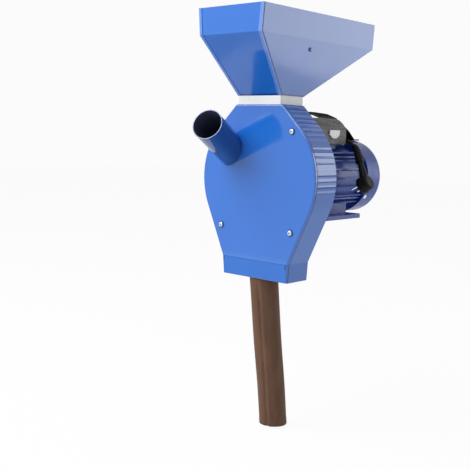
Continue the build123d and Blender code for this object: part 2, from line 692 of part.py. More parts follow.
def rotor_discs():
    """Two discs on a hub, with the holes for the hammer pins."""
    hub = disc(HUB_RADIUS, FRONT_DISC_Y, REAR_DISC_Y + DISC_THICKNESS + HUB_TAIL)
    hub += disc(DISC_RADIUS, FRONT_DISC_Y, FRONT_DISC_Y + DISC_THICKNESS)
    hub += disc(DISC_RADIUS, REAR_DISC_Y, REAR_DISC_Y + DISC_THICKNESS)
    hub -= disc(SHAFT_RADIUS, FRONT_DISC_Y - 1, REAR_DISC_Y + 2 * HUB_TAIL)
    for angle in hammer_angles():
        x, z = polar(PIN_CIRCLE, angle)
        hub -= disc(PIN_RADIUS, FRONT_DISC_Y - 1, REAR_DISC_Y + 2 * DISC_THICKNESS, x, z)
    return hub


def hammer_pins():
    """Pins through both discs, headed at both ends."""
    pins = []
    front = FRONT_DISC_Y - PIN_HEAD_THICKNESS
    back = REAR_DISC_Y + DISC_THICKNESS + PIN_HEAD_THICKNESS
    for angle in hammer_angles():
        x, z = polar(PIN_CIRCLE, angle)
        pin = disc(PIN_RADIUS, front, back, x, z)
        pin += disc(PIN_HEAD_RADIUS, front, FRONT_DISC_Y, x, z)
        pin += disc(PIN_HEAD_RADIUS, REAR_DISC_Y + DISC_THICKNESS, back, x, z)
        pins.append(pin)
    return group(pins)


def hammer_spacers():
    """Tubes on the pins that hold each hammer in its plane."""
    tubes = []
    first = FRONT_DISC_Y + DISC_THICKNESS
    for index, angle in enumerate(hammer_angles()):
        x, z = polar(PIN_CIRCLE, angle)
        front = hammer_front(index) - SIDE_CLEARANCE
        back = hammer_front(index) + HAMMER_THICKNESS + SIDE_CLEARANCE
        for start, end in ((first, front), (back, REAR_DISC_Y)):
            if end - start > 2 * SIDE_CLEARANCE:
                tubes.append(ring(SPACER_RADIUS, PIN_RADIUS, start, end, x, z))
    return group(tubes)


def hammer(index):
    """One swinging hammer, hanging from its pin."""
    x, z = polar(PIN_CIRCLE, hammer_angles()[index])
    front = hammer_front(index)
    back = front + HAMMER_THICKNESS
    half = HAMMER_WIDTH / 2
    bar = block((-half, half), (front, back), (-HAMMER_REACH, 0))
    bar = chamfer(bar.edges().filter_by(Axis.Y).sort_by(Axis.Z)[:2], HAMMER_CORNER)
    bar += disc(half, front, back)
    bar -= disc(PIN_RADIUS + RUNNING_CLEARANCE, front - 1, back + 1)
    return Pos(x, 0, z) * bar


def rotor_nut():
    """Hexagon nut and washer on the end of the shaft."""
    washer_back = FRONT_DISC_Y
    washer_front = washer_back - SHEET
    nut = hexagon(NUT_ACROSS_FLATS, washer_front - NUT_THICKNESS + SHEET, washer_front)
    nut += disc(HUB_RADIUS - 1, washer_front, washer_back)
    return nut - disc(SHAFT_RADIUS, 0, washer_back + 1)


# ---------------------------------------------------------------- sieve
def sieve_sector(outer, inner, front, back):
    """Arc of tube round the lower part of the rotor."""
    gap = radians(SIEVE_OPEN_HALF_ANGLE)
    far = 2 * outer
    side, height = far * sin(gap), far * cos(gap)
    wedge = Polygon((0, 0), (side, height), (far, far), (-far, far), (-side, height), align=None)
    return ring(outer, inner, front, back) - along_y(wedge, front - 1, back + 1)


def sieve():
    """Perforated screen bent round the hammers."""
    screen = sieve_sector(SIEVE_RADIUS + SIEVE_SHEET, SIEVE_RADIUS, SIEVE_FRONT, SIEVE_BACK)
    covered = 360.0 - 2 * SIEVE_OPEN_HALF_ANGLE
    columns = int(covered / SIEVE_HOLE_PITCH) - 1
    first = -90.0 - (columns - 1) * SIEVE_HOLE_PITCH / 2
    spacing = (SIEVE_BACK - SIEVE_FRONT) / (SIEVE_HOLE_ROWS + 1)
    punches = []
    for column in range(columns):
        for row in range(SIEVE_HOLE_ROWS):
            y = SIEVE_FRONT + spacing * (row + 1)
            punch = Pos(SIEVE_RADIUS, y, 0) * Rot(0, 90, 0) * Cylinder(SIEVE_HOLE_RADIUS, 4 * SIEVE_SHEET)
            punches.append(turned(first + column * SIEVE_HOLE_PITCH, punch))
    return screen - punches


def sieve_rails():
    """Curved rails on the cover side and on the back plate that the screen slides into."""
    inner = SIEVE_RADIUS + SIEVE_SHEET
    seat = CHAMBER_DEPTH - SHEET
    back = sieve_sector(inner + RAIL_HEIGHT, inner, seat - RAIL_DEPTH, seat)
    front = sieve_sector(inner + RAIL_HEIGHT, inner, SHEET, SHEET + RAIL_DEPTH)
    return group([front, back])


# ---------------------------------------------------------------- outlet
def outlet_funnel():
    """Sloping floor inside the skirt that narrows to a round spigot."""
    wall = SPIGOT_WALL
    low = FOLD_Z - FUNNEL_HEIGHT
    half = FLANK_HALF_WIDTH - SHEET - SKIRT_TAPER * wall / SKIRT_HEIGHT - SIDE_CLEARANCE
    between_lips = SKIRT_HALF_WIDTH - BAND_LIP - SIDE_CLEARANCE
    heights = (FOLD_Z - wall, FOLD_Z)
    floor = block((-half, half), (BAND_FRONT + SHEET, CHAMBER_DEPTH - SHEET), heights)
    floor += block((-between_lips, between_lips), (FLOOR_FRONT, CHAMBER_DEPTH - SHEET), heights)
    mouth = SPIGOT_RADIUS + FUNNEL_FLARE
    bore = SPIGOT_RADIUS - wall
    lift = Pos(0, OUTLET_Y, FOLD_Z - FUNNEL_HEIGHT / 2)
    cone = lift * Cone(SPIGOT_RADIUS, mouth, FUNNEL_HEIGHT)
    hollow = lift * Cone(bore, mouth - wall, FUNNEL_HEIGHT)
    spigot = post(SPIGOT_RADIUS, low - SPIGOT_LENGTH, low, 0, OUTLET_Y)
    spigot -= post(bore, low - SPIGOT_LENGTH - 1, low + 1, 0, OUTLET_Y)
    return (floor - hollow) + (cone - hollow) + spigot


def sleeve_route():
    """Centre line of the sleeve: an upright neck on the spigot, then leaning back."""
    top = (0, OUTLET_Y, SLEEVE_TOP)
    turn = (0, OUTLET_Y, SLEEVE_TOP - SLEEVE_NECK)
    back = SLEEVE_DROP * tan(radians(SLEEVE_LEAN_BACK))
    side = SLEEVE_DROP * tan(radians(SLEEVE_LEAN_SIDE))
    end = (-side, turn[1] + back, turn[2] - SLEEVE_DROP)
    return [top, turn, end]


def discharge_sleeve():
    """Soft tube for the meal, open at both ends."""
    route = FilletPolyline(*sleeve_route(), radius=SLEEVE_BEND_RADIUS)
    start = Plane(origin=route @ 0, z_dir=route % 0)
    return sweep(start * (Circle(SLEEVE_RADIUS) - Circle(SLEEVE_RADIUS - SLEEVE_WALL)), path=route)


def sleeve_clamp():
    """Worm-drive clip round the top of the sleeve."""
    top = SLEEVE_TOP - CLAMP_SETBACK
    low = top - CLAMP_WIDTH
    inner = SLEEVE_RADIUS + CLAMP_GAP
    outer = inner + CLAMP_THICKNESS
    clip = post(outer, low, top, 0, OUTLET_Y)
    clip += block((0, outer + CLAMP_BOX / 2), (OUTLET_Y - CLAMP_BOX, OUTLET_Y + CLAMP_BOX), (low, top))
    return clip - post(inner, low - 1, top + 1, 0, OUTLET_Y)


# ---------------------------------------------------------------- motor
def flange_bolts():
    """Hexagon bolts from inside the chamber into the motor flange."""
    bolts = []
    face = CHAMBER_DEPTH - SHEET
    for angle in around(4, 45):
        x, z = polar(FLANGE_BOLT_CIRCLE, angle)
        head = hexagon(2 * FLANGE_BOLT_HEAD, face - FLANGE_BOLT_HEAD_THICKNESS, face, x, z)
        shank = disc(FLANGE_BOLT_RADIUS, face, BARREL_FRONT - SHEET, x, z)
        bolts.append(head + shank)
    return group(bolts)


def tie_rod_places():
    """X and Z of the long rods that hold the motor together."""
    angles = (TIE_ROD_ANGLE, 180 - TIE_ROD_ANGLE, 180 + TIE_ROD_ANGLE, -TIE_ROD_ANGLE)
    return [polar(TIE_ROD_CIRCLE, angle) for angle in angles]


def front_shield():
    """Front end shield and flange, with the front bearing pocket."""
    shield = disc(MOTOR_FLANGE_RADIUS, CHAMBER_DEPTH, BARREL_FRONT)
    shield += ring(BARREL_BORE, BARREL_BORE - REGISTER_WALL, BARREL_FRONT, BARREL_FRONT + REGISTER_DEPTH)
    hub_end = FRONT_BEARING_Y + BEARING_WIDTH + BEARING_COVER
    shield += disc(BEARING_RADIUS + HUB_WALL, CHAMBER_DEPTH, hub_end)
    shield -= disc(BEARING_RADIUS, FRONT_BEARING_Y, hub_end + 1)
    shield -= disc(BEARING_SEAT_RADIUS + SHAFT_HOLE_CLEARANCE, CHAMBER_DEPTH - 1, FRONT_BEARING_Y + 1)
    for angle in around(4, 45):
        x, z = polar(FLANGE_BOLT_CIRCLE, angle)
        shield -= disc(FLANGE_BOLT_RADIUS, CHAMBER_DEPTH - 1, BARREL_FRONT - SHEET, x, z)
    for x, z in tie_rod_places():
        shield -= disc(TIE_ROD_RADIUS + SIDE_CLEARANCE, CHAMBER_DEPTH + SHEET, BARREL_FRONT + 1, x, z)
    return shield


def motor_barrel():
    """Finned barrel with a flat-topped neck for the terminal box."""
    barrel = disc(BARREL_RADIUS, BARREL_FRONT, BARREL_BACK)
    fin_root = BARREL_RADIUS - 1
    half = FIN_THICKNESS / 2
    for angle in around(round(360 / FIN_ANGLE)):
        from_top = abs((angle - 90 + 180) % 360 - 180)
        from_bottom = abs((angle - 270 + 180) % 360 - 180)
        if from_top > BOX_SECTOR and from_bottom > FOOT_SECTOR:
            fin = block((fin_root, FIN_RADIUS), (BARREL_FRONT, BARREL_BACK), (-half, half))
            barrel += turned(angle, fin)
    neck_span = (BOX_FRONT + NECK_SETBACK, BOX_BACK - NECK_SETBACK)
    barrel += block((-NECK_HALF_WIDTH, NECK_HALF_WIDTH), neck_span, (0, BOX_FLOOR))
    return barrel - disc(BARREL_BORE, BARREL_FRONT - 1, BARREL_BACK + 1)


def motor_feet():
    """Foot plate with rounded corners and four fixing holes, and two webs up to the barrel."""
    plate = Rectangle(2 * FOOT_HALF_WIDTH, FOOT_LENGTH)
    plate = fillet(plate.vertices(), FOOT_CORNER)
    for x in (-FOOT_HOLE_SPAN_X / 2, FOOT_HOLE_SPAN_X / 2):
        for y in (-FOOT_HOLE_SPAN_Y / 2, FOOT_HOLE_SPAN_Y / 2):
            plate -= Pos(x, y) * Circle(FOOT_HOLE_RADIUS)
    plate -= Rectangle(2 * (WEB_INNER - WEB_THICKNESS), FOOT_LENGTH - 4 * WEB_SETBACK)
    feet = Pos(0, FOOT_CENTRE_Y, -SHAFT_HEIGHT) * extrude(plate, amount=FOOT_THICKNESS)
    web_span = (FOOT_FRONT + WEB_SETBACK, FOOT_BACK - WEB_SETBACK)
    web_rise = (FOOT_THICKNESS - SHAFT_HEIGHT, 0)
    for side in (-1, 1):
        web = block((WEB_INNER, WEB_INNER + WEB_THICKNESS), web_span, web_rise)
        feet += web if side > 0 else mirror(web, about=Plane.YZ)
    return feet - disc(BARREL_RADIUS, FOOT_FRONT, FOOT_BACK)


def rear_shield():
    """Rear end shield with the rear bearing pocket."""
    shield = disc(REAR_SHIELD_RADIUS, BARREL_BACK, SHIELD_BACK)
    shield += ring(BARREL_BORE, BARREL_BORE - REGISTER_WALL, BARREL_BACK - REGISTER_DEPTH, BARREL_BACK)
    shield += disc(BEARING_RADIUS + HUB_WALL, REAR_BEARING_Y - BEARING_COVER, SHIELD_BACK)
    shield -= disc(BEARING_RADIUS, REAR_BEARING_Y - BEARING_COVER - 1, REAR_BEARING_Y + BEARING_WIDTH)
    shield -= disc(BEARING_SEAT_RADIUS + SHAFT_HOLE_CLEARANCE, REAR_BEARING_Y, SHIELD_BACK + 1)
    for x, z in tie_rod_places():
        shield -= disc(TIE_ROD_RADIUS + SIDE_CLEARANCE, BARREL_BACK - 1, SHIELD_BACK + 1, x, z)
    for angle in FAN_SCREW_ANGLES:
        shield -= turned(angle, fan_screw_shank())
    return shield


def tie_rods():
    """Long rods between the end shields, run between the fins."""
    rods = []
    for x, z in tie_rod_places():
        rod = disc(TIE_ROD_RADIUS, CHAMBER_DEPTH + SHEET, SHIELD_BACK, x, z)
        head = disc(TIE_HEAD_RADIUS, SHIELD_BACK, SHIELD_BACK + TIE_HEAD_THICKNESS, x, z)
        rods.append(rod + head)
    return group(rods)


def bearing(front):
    """Ball bearing as one ring, free on the shaft."""
    return ring(BEARING_RADIUS, BEARING_SEAT_RADIUS + RUNNING_CLEARANCE, front, front + BEARING_WIDTH)


def stator_core():
    """Laminated stack pressed into the barrel."""
    return ring(BARREL_BORE, STATOR_BORE, STATOR_FRONT, STATOR_BACK)


def stator_windings():
    """End turns at both ends of the stack."""
    ends = [
        ring(WINDING_OUTER, WINDING_INNER, STATOR_FRONT - WINDING_LENGTH, STATOR_FRONT),
        ring(WINDING_OUTER, WINDING_INNER, STATOR_BACK, STATOR_BACK + WINDING_LENGTH),
    ]
    rounded = [fillet(end.edges().filter_by(GeomType.CIRCLE), SHEET * 2) for end in ends]
    return group(rounded)


def rotor_core():
    """Squirrel-cage rotor with its end rings."""
    core = disc(STATOR_BORE - AIR_GAP, STATOR_FRONT, STATOR_BACK)
    core += disc(CAGE_RING_OUTER, STATOR_FRONT - CAGE_RING_LENGTH, STATOR_BACK + CAGE_RING_LENGTH)
    bore = (STATOR_FRONT - 2 * CAGE_RING_LENGTH, STATOR_BACK + 2 * CAGE_RING_LENGTH)
    return core - disc(BEARING_SEAT_RADIUS, *bore)


def motor_shaft():
    """Stepped shaft from the rotor nut to the cooling fan."""
    shaft = disc(SHAFT_RADIUS, SHAFT_FRONT, FRONT_BEARING_Y)
    shaft += disc(BEARING_SEAT_RADIUS, REAR_DISC_Y + DISC_THICKNESS + HUB_TAIL, SHIELD_BACK + 1)
    shaft += disc(FAN_TAIL_RADIUS, SHIELD_BACK, FAN_BACK)
    return chamfer(shaft.faces().sort_by(Axis.Y)[0].edges(), 1.0)


def cooling_fan():
    """Radial fan on the tail of the shaft."""
    fan = disc(FAN_HUB_RADIUS, FAN_FRONT, FAN_BACK)
    fan += disc(FAN_RADIUS, FAN_FRONT, FAN_FRONT + FAN_PLATE)
    half = FAN_BLADE_THICKNESS / 2
    for angle in around(FAN_BLADES):
        fan += turned(angle, block((FAN_HUB_RADIUS - 1, FAN_RADIUS), (FAN_FRONT, FAN_BACK), (-half, half)))
    return fan - disc(FAN_TAIL_RADIUS, FAN_FRONT - 1, FAN_BACK + 1)


def fan_cover():
    """Deep-drawn cover with a slotted back."""
    cover = disc(FAN_COVER_RADIUS, FAN_COVER_FRONT, FAN_COVER_BACK)
    cover = fillet(cover.faces().sort_by(Axis.Y)[-1].edges(), FAN_COVER_EDGE)
    hollow = disc(FAN_COVER_RADIUS - FAN_COVER_WALL, FAN_COVER_FRONT - 1, FAN_COVER_BACK - FAN_COVER_WALL)
    hollow = fillet(hollow.faces().sort_by(Axis.Y)[-1].edges(), FAN_COVER_EDGE - FAN_COVER_WALL)
    cover -= hollow
    half = GRILLE_SLOT_WIDTH / 2
    for angle in around(GRILLE_SLOTS):
        slot = block((GRILLE_INNER, GRILLE_OUTER), (FAN_COVER_BACK - 4, FAN_COVER_BACK + 1), (-half, half))
        slot = fillet(slot.edges().filter_by(Axis.Y), half * 0.96)
        cover -= turned(angle, slot)
    for angle in FAN_SCREW_ANGLES:
        cover -= turned(angle, fan_screw_shank())
    return cover - strap_shanks()


def fan_screw_shank():
    """Radial shank of a fan cover screw, on +X."""
    y = (BARREL_BACK + SHIELD_BACK) / 2
    start = REAR_SHIELD_RADIUS - 4
    length = FAN_COVER_RADIUS - start
    return Pos(start + length / 2, y, 0) * Rot(0, 90, 0) * Cylinder(FAN_SCREW_RADIUS, length)


def fan_cover_screws():
    """Round-head screws that hold the fan cover to the rear shield."""
    y = (BARREL_BACK + SHIELD_BACK) / 2
    screws = []
    for angle in FAN_SCREW_ANGLES:
        head = Pos(FAN_COVER_RADIUS + 1, y, 0) * Rot(0, 90, 0) * Cylinder(FAN_SCREW_HEAD, 2.6)
        head = fillet(head.faces().sort_by(Axis.X)[-1].edges(), 1.4)
        screw = head - disc(FAN_COVER_RADIUS, y - 10, y + 10)
        screws.append(turned(angle, screw + fan_screw_shank()))
    return group(screws)


# ---------------------------------------------------------------- terminal box
def box_profile(inset):
    """Side view of the box: flat top, rear corner sloping in a shallow curve."""
    front = BOX_FRONT + inset
    back = BOX_BACK - inset
    top = BOX_TOP - inset
    low = BOX_SILL - (1 if inset else 0)
    slope_start = BOX_BACK - BOX_SLOPE_LENGTH
    slope_end = BOX_TOP - BOX_SLOPE_DROP - inset
    middle = ((slope_start + back) / 2 + BOX_SLOPE_BULGE, (top + slope_end) / 2 + BOX_SLOPE_BULGE)
    outline = (
        Polyline((back, slope_end), (back, low), (front, low), (front, top), (slope_start, top))
        + ThreePointArc((slope_start, top), middle, (back, slope_end))
    )
    return make_face(outline)


def switch_outline(grow=0.0):
    """Shield shape of the switch boot: flat top and a rounded point below."""
    half = BUTTON_HALF_WIDTH + grow
    top = BUTTON_TOP + grow
    side = BUTTON_SIDE_DROP
    low = -BUTTON_BOTTOM - grow
    right = Line((0, top), (half, top)) + Line((half, top), (half, -side))
    right += ThreePointArc((half, -side), (half * 0.62, (low - side) * 0.62), (0, low))
    return make_face(right + mirror(right, about=Plane.YZ))


def switch_prism(left, right, grow=0.0):
    """Boot outline through the side wall."""
    return across_x(Pos(SWITCH_Y, SWITCH_Z) * switch_outline(grow), left, right)


def box_cover():
    """Moulded lid of the terminal box, grooved along its sides."""
    cover = across_x(box_profile(0), -BOX_HALF_WIDTH, BOX_HALF_WIDTH)
    cover = fillet(cover.edges().filter_by(Axis.X).group_by(Axis.Z)[-1], BOX_EDGE)
    cover -= across_x(box_profile(BOX_WALL), -BOX_HALF_WIDTH + BOX_WALL, BOX_HALF_WIDTH - BOX_WALL)
    along = (BOX_FRONT + BOX_GROOVE_INSET, BOX_BACK - BOX_SLOPE_LENGTH - BOX_GROOVE_INSET)
    bottom = BOX_HALF_WIDTH - BOX_GROOVE_DEPTH
    for step in range(BOX_GROOVES):
        top = BOX_TOP - BOX_GROOVE_PITCH * (step + 1)
        cover -= block((bottom, BOX_HALF_WIDTH + 1), along, (top - BOX_GROOVE_WIDTH, top))
        cover -= block((-BOX_HALF_WIDTH - 1, -bottom), along, (top - BOX_GROOVE_WIDTH, top))
    for x, y in box_screw_places():
        cover += post(BOX_BOSS_RADIUS, BOX_SILL, BOX_SILL + BOX_BOSS_HEIGHT, x, y)
        cover -= post(BOX_SCREW_RADIUS, BOX_SILL - 1, BOX_SILL + BOX_BOSS_HEIGHT / 2, x, y)
    cover -= switch_prism(BOX_HALF_WIDTH - 2 * BOX_WALL, BOX_HALF_WIDTH + 1, BUTTON_CLEARANCE)
    cover -= disc(GLAND_RADIUS - 1, BOX_BACK - 2 * BOX_WALL, BOX_BACK + 1, GLAND_X, GLAND_Z)
    return cover


def box_screw_places():
    """X and Y of the four lid screws."""
    span = BOX_HALF_WIDTH - BOX_SCREW_INSET
    ends = (BOX_FRONT + BOX_SCREW_INSET, BOX_BACK - BOX_SCREW_INSET)
    return [(side * span, y) for side in (-1, 1) for y in ends]


def box_base():
    """Floor of the terminal box, seated on the neck of the barrel."""
    sides = (-BOX_HALF_WIDTH, BOX_HALF_WIDTH)
    plate = block(sides, (BOX_FRONT, BOX_BACK), (BOX_FLOOR, BOX_SILL))
    plate = fillet(plate.edges().filter_by(Axis.Z), BOX_EDGE)
    for x, y in box_screw_places():
        plate -= post(BOX_SCREW_RADIUS, BOX_FLOOR - 1, BOX_SILL + 1, x, y)
    return plate


def box_screws():
    """Screws up through the floor into the lid's corners."""
    screws = []
    for x, y in box_screw_places():
        head = post(BOX_BOSS_RADIUS, BOX_FLOOR - BOX_SCREW_RADIUS, BOX_FLOOR, x, y)
        screws.append(head + post(BOX_SCREW_RADIUS, BOX_FLOOR, BOX_SILL + BOX_BOSS_HEIGHT / 2, x, y))
    return group(screws)


def run_capacitor():
    """Round motor capacitor lying along the box."""
    x = -BOX_HALF_WIDTH + BOX_WALL + CAPACITOR_RADIUS + 1
    front = BOX_FRONT + CAPACITOR_SETBACK
    back = BOX_BACK - 2 * BOX_WALL - TERMINAL_LENGTH - CAPACITOR_GAP
    can = disc(CAPACITOR_RADIUS, front, back, x, BOX_SILL + CAPACITOR_RADIUS)
    return fillet(can.edges().filter_by(GeomType.CIRCLE), 2)


def terminal_block():
    """Moulded block that joins the cord to the windings."""
    back = BOX_BACK - 2 * BOX_WALL
    left = -TERMINAL_WIDTH
    terminals = block((left, 0), (back - TERMINAL_LENGTH, back), (BOX_SILL, BOX_SILL + TERMINAL_HEIGHT))
    for step in range(3):
        y = back - TERMINAL_LENGTH * (step + 0.5) / 3
        terminals -= post(TERMINAL_LENGTH / 12, BOX_SILL + TERMINAL_HEIGHT / 2, BOX_TOP, left / 2, y)
    return terminals


def switch_body():
    """Switch case behind the side wall."""
    back = BOX_HALF_WIDTH - BOX_WALL - BUTTON_TRAVEL - BUTTON_CLEARANCE
    widths = (SWITCH_Y - BUTTON_HALF_WIDTH + 2, SWITCH_Y + BUTTON_HALF_WIDTH - 2)
    heights = (BOX_SILL, SWITCH_Z + BUTTON_TOP - 1)
    return block((back - SWITCH_DEPTH, back), widths, heights)


def switch_button():
    """Sprung boot of the switch."""
    inner = BOX_HALF_WIDTH - BOX_WALL
    return switch_prism(inner, BOX_HALF_WIDTH + BUTTON_PROUD)


def cable_gland():
    """Elbow that turns the cord sideways, with a tapered relief."""
    collar_back = BOX_BACK + GLAND_COLLAR
    gland = disc(GLAND_RADIUS - 1, BOX_BACK - BOX_WALL, collar_back, GLAND_X, GLAND_Z)
    gland += disc(GLAND_RADIUS + 2, BOX_BACK, collar_back, GLAND_X, GLAND_Z)
    elbow_end = (GLAND_X - GLAND_BEND_RADIUS, collar_back + GLAND_BEND_RADIUS, GLAND_Z)
    bend = TangentArc((GLAND_X, collar_back, GLAND_Z), elbow_end, tangent=(0, 1, 0))
    gland += sweep(Plane(origin=bend @ 0, z_dir=bend % 0) * Circle(GLAND_RADIUS), path=bend)
    seat = (Align.CENTER, Align.CENTER, Align.MIN)
    relief = Cone(GLAND_RADIUS, RELIEF_TIP_RADIUS, RELIEF_LENGTH, align=seat)
    return gland + Pos(*elbow_end) * Rot(0, -90, 0) * relief


# ---------------------------------------------------------------- strap
def strap_seats():
    """Y and Z of the strap's two ends, inner side."""
    front = (CHAMBER_DEPTH, BOX_TOP - STRAP_TAB)
    rear = (FAN_COVER_BACK - FAN_COVER_EDGE - STRAP_TAB, FAN_COVER_RADIUS)
    return front, rear


def carry_strap():
    """Flat bar arched over the terminal box, from the back plate to the fan cover."""
    front, rear = strap_seats()
    half = STRAP_THICKNESS / 2
    level = BOX_TOP + STRAP_RISE
    points = [(front[0] + half, front[1]), (front[0] + half, level)]
    points += [(BOX_BACK + back, BOX_TOP + rise) for back, rise in STRAP_BENDS]
    points += [(BOX_BACK + STRAP_HEEL_Y, FAN_COVER_RADIUS + STRAP_HEEL_RISE), (rear[0] + 2, rear[1] + half)]
    points += [(rear[0] + STRAP_TAB + STRAP_OVERHANG, rear[1] + half)]
    bar = trace(FilletPolyline(*points, radius=STRAP_BEND_RADIUS), STRAP_THICKNESS)
    strap = across_x(bar, -STRAP_HALF_WIDTH, STRAP_HALF_WIDTH)
    return strap - disc(FAN_COVER_RADIUS, FAN_COVER_FRONT, FAN_COVER_BACK) - strap_shanks()


def strap_shanks():
    """Shanks of the two strap screws."""
    front, rear = strap_seats()
    middle_z = front[1] + STRAP_TAB / 2 - 2
    shanks = disc(STRAP_SCREW_RADIUS, CHAMBER_DEPTH - 4, CHAMBER_DEPTH + STRAP_THICKNESS + 1, 0, middle_z)
    y = rear[0] + STRAP_TAB / 2
    return shanks + post(STRAP_SCREW_RADIUS, rear[1] - 4, rear[1] + STRAP_THICKNESS + 1, 0, y)


def strap_screws():
    """Screws through the strap's ends."""
    front, rear = strap_seats()
    middle_z = front[1] + STRAP_TAB / 2 - 2
    face = CHAMBER_DEPTH + STRAP_THICKNESS
    head = disc(STRAP_SCREW_HEAD, face, face + 3, 0, middle_z)
    y = rear[0] + STRAP_TAB / 2
    top = rear[1] + STRAP_THICKNESS
    head_rear = post(STRAP_SCREW_HEAD, top, top + 3, 0, y)
    shanks = strap_shanks()
    pieces = head + head_rear + shanks
    return group([pieces])


# ---------------------------------------------------------------- cord and plug
def bend_radii(points):
    """Arc radius at each corner of a cord route, from its shorter run and half its turn."""
    radii = []
    for before, corner, after in zip(points, points[1:], points[2:]):
        first = Vector(*corner) - Vector(*before)
        second = Vector(*after) - Vector(*corner)
        half_turn = radians(first.get_angle(second)) / 2
        radii.append(0.45 * min(first.length, second.length) / tan(half_turn))
    return radii


def cord_tube(points, name):
    """Round cord along straight runs joined by tangent arcs."""
    radii = bend_radii(points)
    route = FilletPolyline(*points, radius=radii)
    tube = sweep(Plane(origin=route @ 0, z_dir=route % 0) * Circle(CORD_RADIUS), path=route)
    print(name, "radii", [round(radius, 1) for radius in radii], "length", round(route.length, 1),
          "volume ratio", round(tube.volume / (pi * CORD_RADIUS ** 2 * route.length), 4))
    return tube


def coil_section(grow=0.0):
    """Section of the coil through its lowest place, square to the turns."""
    width = 2 * CORD_RADIUS * COIL_TURNS_WIDE + 2 * grow
    depth = 2 * CORD_RADIUS * COIL_TURNS_DEEP + 2 * grow
    return Pos(0, -COIL_RADIUS) * RectangleRounded(width, depth, COIL_EDGE + grow)


def cord_coil():
    """Outer form of the coiled cord, a ring that stands on edge along the motor."""
    return Pos(*COIL_CENTRE) * revolve(Plane.XZ * coil_section(), axis=Axis.X)


def cord_tie():
    """Band round the turns at the foot of the coil."""
    band = Plane.XZ * (coil_section(TIE_THICKNESS) - coil_section())
    sweep_angle = degrees(TIE_WIDTH / COIL_RADIUS)
    loop = revolve(band, axis=Axis.X, revolution_arc=sweep_angle)
    return Pos(*COIL_CENTRE) * Rot(-sweep_angle / 2, 0, 0) * loop


def plug_plane():
    """Plane of the plug's face, its Z along the pins and +Y towards the cord entry."""
    return Plane(origin=PLUG_FACE_CENTRE, x_dir=PLUG_PIN_LINE, z_dir=PLUG_POINTING)


def plug_body():
    """Angled plug: round face, tapered back and a strain relief that leaves sideways."""
    body = Pos(0, 0, -PLUG_FACE_DEPTH / 2) * Cylinder(PLUG_FACE_RADIUS, PLUG_FACE_DEPTH)
    taper = PLUG_BODY_DEPTH - PLUG_FACE_DEPTH
    body += Pos(0, 0, -PLUG_FACE_DEPTH - taper / 2) * Cone(PLUG_BACK_RADIUS, PLUG_FACE_RADIUS - 1, taper)
    body = fillet(body.faces().sort_by(Axis.Z)[0].edges(), 4)
    elbow = Cone(PLUG_ELBOW_RADIUS, PLUG_TIP_RADIUS, PLUG_ELBOW_REACH,
                 align=(Align.CENTER, Align.CENTER, Align.MIN))
    body += Pos(0, 0, -PLUG_BODY_DEPTH / 2) * Rot(-90, 0, 0) * elbow
    return plug_plane() * body


def plug_pins():
    """Two round pins."""
    pins = []
    for side in (-1, 1):
        pin = Cylinder(PLUG_PIN_RADIUS, PLUG_PIN_LENGTH, align=(Align.CENTER, Align.CENTER, Align.MIN))
        pin = fillet(pin.faces().sort_by(Axis.Z)[-1].edges(), PLUG_PIN_RADIUS * 0.8)
        pins.append(plug_plane() * Pos(side * PLUG_PIN_PITCH / 2, 0, 0) * pin)
    return group(pins)


# ---------------------------------------------------------------- the assembly
def all_pieces():
    """Every piece by its node name."""
    left, right, front, back = hopper_panels()
    pieces = {
        "front_cover": front_cover(),
        "cover_gasket": cover_gasket(),
        "drum_band": drum_band(),
        "back_plate": back_plate(),
        "cover_posts": cover_posts(),
        "cover_screws": cover_screws(),
        "cob_pipe": cob_pipe(),
        "throat_collar": throat_collar(),
        "feed_gate": feed_gate(),
        "hopper_left": left,
        "hopper_right": right,
        "hopper_front": front,
        "hopper_back": back,
        "guard_rod": guard_rod(),
        "rotor_discs": rotor_discs(),
        "hammer_pins": hammer_pins(),
        "hammer_spacers": hammer_spacers(),
        "rotor_nut": rotor_nut(),
        "sieve": sieve(),
        "sieve_rails": sieve_rails(),
        "outlet_funnel": outlet_funnel(),
        "discharge_sleeve": discharge_sleeve(),
        "sleeve_clamp": sleeve_clamp(),
        "flange_bolts": flange_bolts(),
        "front_shield": front_shield(),
        "motor_barrel": motor_barrel(),
        "motor_feet": motor_feet(),
        "rear_shield": rear_shield(),
        "tie_rods": tie_rods(),
        "front_bearing": bearing(FRONT_BEARING_Y),
        "rear_bearing": bearing(REAR_BEARING_Y),
        "stator_core": stator_core(),
        "stator_windings": stator_windings(),
        "rotor_core": rotor_core(),
        "motor_shaft": motor_shaft(),
        "cooling_fan": cooling_fan(),
        "fan_cover": fan_cover(),
        "fan_cover_screws": fan_cover_screws(),
        "box_base": box_base(),
        "box_cover": box_cover(),
        "box_screws": box_screws(),
        "run_capacitor": run_capacitor(),
        "terminal_block": terminal_block(),
        "switch_body": switch_body(),
        "switch_button": switch_button(),
        "cable_gland": cable_gland(),
        "carry_strap": carry_strap(),
        "strap_screws": strap_screws(),
        "cord_lead": cord_tube(LEAD_ROUTE, "cord_lead"),
        "cord_coil": cord_coil(),
        "cord_tie": cord_tie(),
        "cord_tail": cord_tube(TAIL_ROUTE, "cord_tail"),
        "plug_body": plug_body(),
        "plug_pins": plug_pins(),
    }
    for index in range(HAMMER_COUNT):
        pieces["hammer_" + str(index + 1)] = hammer(index)
    return pieces


to_feet = Pos(0, -FOOT_CENTRE_Y, SHAFT_HEIGHT)
os.makedirs("parts", exist_ok=True)
for node, shape in all_pieces().items():
    export_step(to_feet * shape, "parts/" + node + ".step")
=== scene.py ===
import bmesh
import bpy
import json
from math import acos, atan2, cos, exp, hypot, pi, radians, sin, tan
from mathutils import Matrix, Vector


